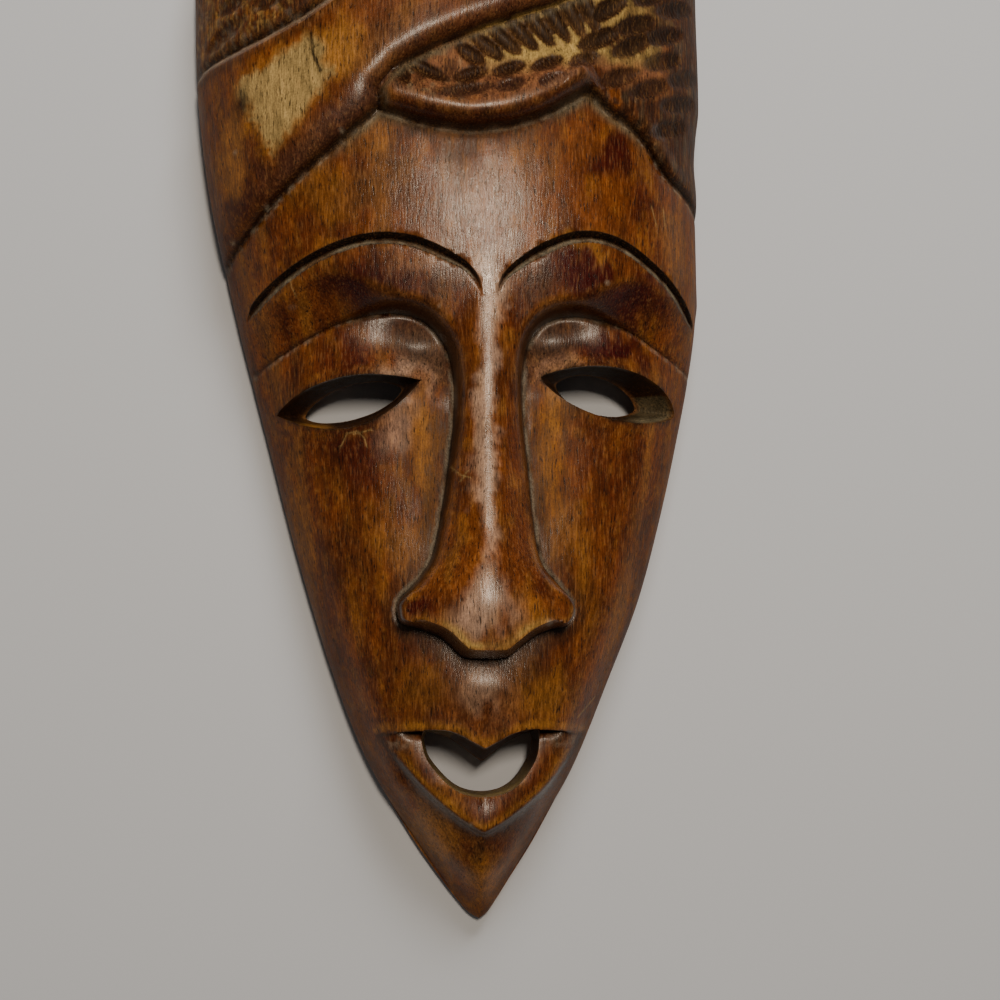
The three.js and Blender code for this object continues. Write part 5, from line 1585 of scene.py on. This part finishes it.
def paint_marks(paint):
    """Small flecks, scratches and slits left by years of handling."""
    for (cx, cy), size in FLECKS:
        paint.add_dust(bell(np.hypot(paint.x - cx, paint.y - cy), size))
    for ends in SCRATCHES:
        distance = nearest(np.array(ends, float), paint.x, paint.y)[0]
        paint.lay(("sapwood", 0.5, bell(distance, SCRATCH_WIDTH)))
    for ends in SLITS:
        distance = nearest(np.array(ends, float), paint.x, paint.y)[0]
        paint.lay(("black", 0.9, bell(distance + paint.wobble, SLIT_WIDTH)))


def paint_back(paint, hollowed, flat_rim):
    """The hollow is left as the gouge made it, and the rim is worn where it rests."""
    paint.lay(
        ("raw", 0.85, hollowed),
        ("umber", 0.5, hollowed * paint.blots("hollow umber")),
        ("brown", 0.6, hollowed * paint.blots("hollow brown")),
        ("amber", 0.45, flat_rim * paint.blots("rim amber")),
    )
    paint.roughen(*ROUGH["hollow"], hollowed)
    paint.roughen(*ROUGH["rim"], flat_rim)


RELIEF_ROUNDS = (6, 60)


def painted(points, regions, faces, eye_loops):
    """The paint's values at every vertex."""
    outside = (regions == FRONT) | (regions == SIDE)
    fine, broad = relief_over(points, faces, RELIEF_ROUNDS)
    face = Paint(points[outside])
    paint_clouds(face)
    paint_sapwood(face)
    paint_wear(face, fine[outside], broad[outside])
    paint_hair(face)
    paint_brow_cuts(face)
    paint_edge_of_sockets(face)
    paint_mouth(face)
    paint_eyes(face, eye_loops)
    paint_marks(face)
    face.roughen(*ROUGH["sides"], smoothstep(blank_radius(face.x, face.y), *SIDES_FROM))
    inside = Paint(points[~outside])
    paint_clouds(inside)
    paint_walls(inside, (regions[~outside] == WALL).astype(float))
    flat = points[~outside, 2] < TINY
    paint_back(inside, (regions[~outside] == HOLLOW) & ~flat, flat)
    values = np.empty((len(points), face.values().shape[1]))
    values[outside] = face.values()
    values[~outside] = inside.values()
    return values


def add_attribute(mesh, name, kind, key, values):
    made = mesh.attributes.new(name, kind, "POINT")
    made.data.foreach_set(key, np.ascontiguousarray(values, np.float32).ravel())


SHARP_FROM = math.radians(55)

points, regions, faces = carve()
mesh = bpy.data.meshes.new("carved_mask")
mesh.from_pydata(in_frame(points).tolist(), [], faces.tolist())
mesh.validate()
mesh.shade_smooth()
mesh.set_sharp_from_angle(angle=SHARP_FROM)
mask = bpy.data.objects.new("carved_mask", mesh)
bpy.context.scene.collection.objects.link(mask)
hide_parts("mask")
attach(mask, "root")

looks = painted(points, regions, faces, [lens(*eye["front"]) for eye in EYES.values()])
stain = np.column_stack([looks[:, :3], np.ones(len(points))])
add_attribute(mesh, "stain", "FLOAT_COLOR", "color", stain)
for name, values in zip(("dust", "polish", "ribs"), looks[:, 3:].T):
    add_attribute(mesh, name, "FLOAT", "value", values)

MILLIMETRES = (1000, 1000, 1000)
PORE_COLOUR = (*STAINS["black"], 1)
DUST_COLOUR = (*STAINS["dust"], 1)
PALE_FIBRE = (*seen(150, 110, 62), 1)

# Grain: how much each noise is squeezed along the fibres, features per millimetre, detail, roughness
GRAIN = {
    "streaks": ((1, 0.06, 1), 0.45, 4, 0.6),
    "fibres": ((1, 0.13, 1), 1.7, 3, 0.62),
    "pores": ((1, 0.16, 1), 2.0, 2, 0.55),
    "clouds": ((1, 0.5, 1), 0.2, 4, 0.65),
    "grit": ((1, 0.7, 1), 2.4, 3, 0.65),
    "ribs": ((1, 0.1, 1), 1.15, 1, 0.4),
}
# Tone: how dark and how bright each noise makes the stain
TONE = {"streaks": (0.74, 1.28), "fibres": (0.58, 1.42), "clouds": (0.72, 1.3), "grit": (0.72, 1.3)}
NOISE_SPAN = (0.3, 0.7)
# What each noise or value does: from low and high to low and high
RANGES = {
    "rib tone": (0.38, 0.6, -0.5, 0.5),
    "pale fibre": (0.52, 0.72, 0, 0.3),
    "pale tone": (0.6, 1.2, 0, 1),
    "pores": (0.58, 0.68, 0, 0.8),
    "dust": (0.36, 0.6, 0.35, 1),
    "rough fibres": (*NOISE_SPAN, -0.13, 0.13),
    "rough clouds": (*NOISE_SPAN, -0.06, 0.08),
    "coat": (0.34, 0.6, 0.28, 0.02),
}
DUST_ROUGH = 0.3
# The fine relief: how much of each noise beside the streaks and fibres, and how high in metres
HEIGHT = {"grit": 0.5, "pores": -0.25, "ribs": 2}
BUMP = {"Strength": 0.5, "Distance": 0.00014}
SPECULAR = {
    "Specular IOR Level": 0.34,
    "Specular Tint": (1, 0.86, 0.72, 1),
    "Coat Roughness": 0.21,
}
MIX_SHARE, MIX_A, MIX_B, MIX_RESULT = 0, 6, 7, 2  # a mix node's sockets for colours


class Nodes:
    """Adds nodes to a material's tree. Inputs are values or the sockets that feed them."""

    def __init__(self, tree):
        self.tree = tree

    def add(self, kind, inputs, **settings):
        made = self.tree.nodes.new(kind)
        for name, value in settings.items():
            setattr(made, name, value)
        for name, value in inputs.items():
            if isinstance(value, bpy.types.NodeSocket):
                self.tree.links.new(value, made.inputs[name])
            else:
                made.inputs[name].default_value = value
        return made

    def noise(self, place, squeeze, scale, detail, roughness):
        squeezed = self.stretch(place, squeeze)
        inputs = {"Vector": squeezed, "Scale": scale, "Detail": detail, "Roughness": roughness}
        return self.add("ShaderNodeTexNoise", inputs).outputs["Fac"]

    def range(self, value, low, high, to_low, to_high):
        inputs = {"Value": value, "From Min": low, "From Max": high, "To Min": to_low, "To Max": to_high}
        return self.add("ShaderNodeMapRange", inputs).outputs["Result"]

    def plus(self, a, b):
        return self.add("ShaderNodeMath", {0: a, 1: b}, operation="ADD").outputs[0]

    def times(self, a, b):
        return self.add("ShaderNodeMath", {0: a, 1: b}, operation="MULTIPLY").outputs[0]

    def stretch(self, place, scale):
        return self.add("ShaderNodeVectorMath", {0: place, 1: scale}, operation="MULTIPLY").outputs[0]

    def mix(self, share, a, b):
        inputs = {MIX_SHARE: share, MIX_A: a, MIX_B: b}
        return self.add("ShaderNodeMix", inputs, data_type="RGBA").outputs[MIX_RESULT]

    def attribute(self, name, output="Fac"):
        return self.add("ShaderNodeAttribute", {}, attribute_name=name).outputs[output]


def waxed_wood():
    """Stained, waxed and worn wood with its grain along the face."""
    made = bpy.data.materials.new("waxed wood")
    made.use_nodes = True
    tree = made.node_tree
    nodes = Nodes(tree)
    shader = tree.nodes["Principled BSDF"].inputs
    place = nodes.stretch(nodes.add("ShaderNodeTexCoord", {}).outputs["Object"], MILLIMETRES)
    grain = {name: nodes.noise(place, *settings) for name, settings in GRAIN.items()}

    ribs = nodes.attribute("ribs")
    tone = nodes.plus(1, nodes.times(ribs, nodes.range(grain["ribs"], *RANGES["rib tone"])))
    for name, (darkest, brightest) in TONE.items():
        tone = nodes.times(tone, nodes.range(grain[name], *NOISE_SPAN, darkest, brightest))
    toned = {0: nodes.attribute("stain", "Color"), "Scale": tone}
    colour = nodes.add("ShaderNodeVectorMath", toned, operation="SCALE").outputs[0]
    pale = nodes.range(grain["fibres"], *RANGES["pale fibre"])
    pale = nodes.times(pale, nodes.range(tone, *RANGES["pale tone"]))
    colour = nodes.mix(pale, colour, PALE_FIBRE)
    pore = nodes.range(grain["pores"], *RANGES["pores"])
    colour = nodes.mix(pore, colour, PORE_COLOUR)
    dusty = nodes.times(nodes.attribute("dust"), nodes.range(grain["grit"], *RANGES["dust"]))
    colour = nodes.mix(dusty, colour, DUST_COLOUR)
    tree.links.new(colour, shader["Base Color"])

    polish = nodes.attribute("polish")
    rough = nodes.plus(polish, nodes.range(grain["fibres"], *RANGES["rough fibres"]))
    rough = nodes.plus(rough, nodes.range(grain["clouds"], *RANGES["rough clouds"]))
    rough = nodes.plus(rough, nodes.times(dusty, DUST_ROUGH))
    tree.links.new(rough, shader["Roughness"])
    tree.links.new(nodes.range(polish, *RANGES["coat"]), shader["Coat Weight"])
    for name, value in SPECULAR.items():
        shader[name].default_value = value

    height = nodes.plus(grain["streaks"], grain["fibres"])
    height = nodes.plus(height, nodes.times(grain["grit"], HEIGHT["grit"]))
    height = nodes.plus(height, nodes.times(pore, HEIGHT["pores"]))
    height = nodes.plus(height, nodes.times(nodes.times(ribs, grain["ribs"]), HEIGHT["ribs"]))
    bump = nodes.add("ShaderNodeBump", {"Height": height, **BUMP}).outputs["Normal"]
    tree.links.new(bump, shader["Normal"])
    tree.links.new(bump, shader["Coat Normal"])
    return made


mesh.materials.append(waxed_wood())

# Camera: a little to the mask's left and towards its chin, looking almost straight down
CAMERA_YAW = math.radians(4)
CAMERA_PITCH = math.radians(4)
CAMERA_DISTANCE = 0.6
CAMERA_TARGET = Vector((0.0179, -0.0584, 0))
CAMERA_LENS = {"lens": 64.8, "sensor_width": 36, "clip_start": 0.01}


def add_object(name, data):
    made = bpy.data.objects.new(name, data)
    bpy.context.scene.collection.objects.link(made)
    return made


def add_camera():
    data = bpy.data.cameras.new("camera")
    for name, value in CAMERA_LENS.items():
        setattr(data, name, value)
    camera = add_object("camera", data)
    right = Vector((math.cos(CAMERA_YAW), 0, math.sin(CAMERA_YAW)))
    ahead = Vector((
        math.sin(CAMERA_YAW) * math.cos(CAMERA_PITCH),
        math.sin(CAMERA_PITCH),
        -math.cos(CAMERA_YAW) * math.cos(CAMERA_PITCH),
    ))
    up = right.cross(ahead)
    turn = Matrix((right, up, -ahead)).transposed().to_4x4()
    camera.matrix_world = Matrix.Translation(CAMERA_TARGET - ahead * CAMERA_DISTANCE) @ turn
    bpy.context.scene.camera = camera


add_camera()

# Lights: a warm one over the forehead, and a cool soft one beyond the crown that makes no highlights
LIGHTS = {
    "overhead": {
        "at": (0.062, 0.14, 1.1), "aim": (0.062, 0, 0), "size": (0.11, 0.16),
        "power": 6.6, "colour": (1, 0.88, 0.74), "glossy": True,
    },
    "window": {
        "at": (0.2, 0.95, 0.85), "aim": (0, 0, 0), "size": (0.6, 0.4),
        "power": 11.5, "colour": (0.96, 0.98, 1), "glossy": False,
    },
}
WORLD = {"Color": (1, 1, 1, 1), "Strength": 0.08}
FLOOR_HALF = 3
FLOOR_LOOKS = {"Base Color": (0.6, 0.6, 0.6, 1), "Roughness": 0.9}


def add_light(name, kept):
    data = bpy.data.lights.new(name, "AREA")
    data.shape = "RECTANGLE"
    data.size, data.size_y = kept["size"]
    data.energy = kept["power"]
    data.color = kept["colour"]
    light = add_object(name, data)
    light.location = kept["at"]
    aim = Vector(kept["aim"]) - Vector(kept["at"])
    light.rotation_euler = aim.to_track_quat("-Z", "Y").to_euler()
    light.visible_camera = False
    light.visible_glossy = kept["glossy"]


def add_world():
    world = bpy.data.worlds.new("studio")
    world.use_nodes = True
    for name, value in WORLD.items():
        world.node_tree.nodes["Background"].inputs[name].default_value = value
    bpy.context.scene.world = world


def add_floor():
    data = bpy.data.meshes.new("floor")
    corners = [(x * FLOOR_HALF, y * FLOOR_HALF, 0) for x, y in ((-1, -1), (1, -1), (1, 1), (-1, 1))]
    data.from_pydata(corners, [], [(0, 1, 2, 3)])
    floor = add_object("floor", data)
    floor.location.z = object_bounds()[0].z
    pale = bpy.data.materials.new("pale floor")
    pale.use_nodes = True
    for name, value in FLOOR_LOOKS.items():
        pale.node_tree.nodes["Principled BSDF"].inputs[name].default_value = value
    data.materials.append(pale)


for light_name, light_settings in LIGHTS.items():
    add_light(light_name, light_settings)
add_world()
add_floor()
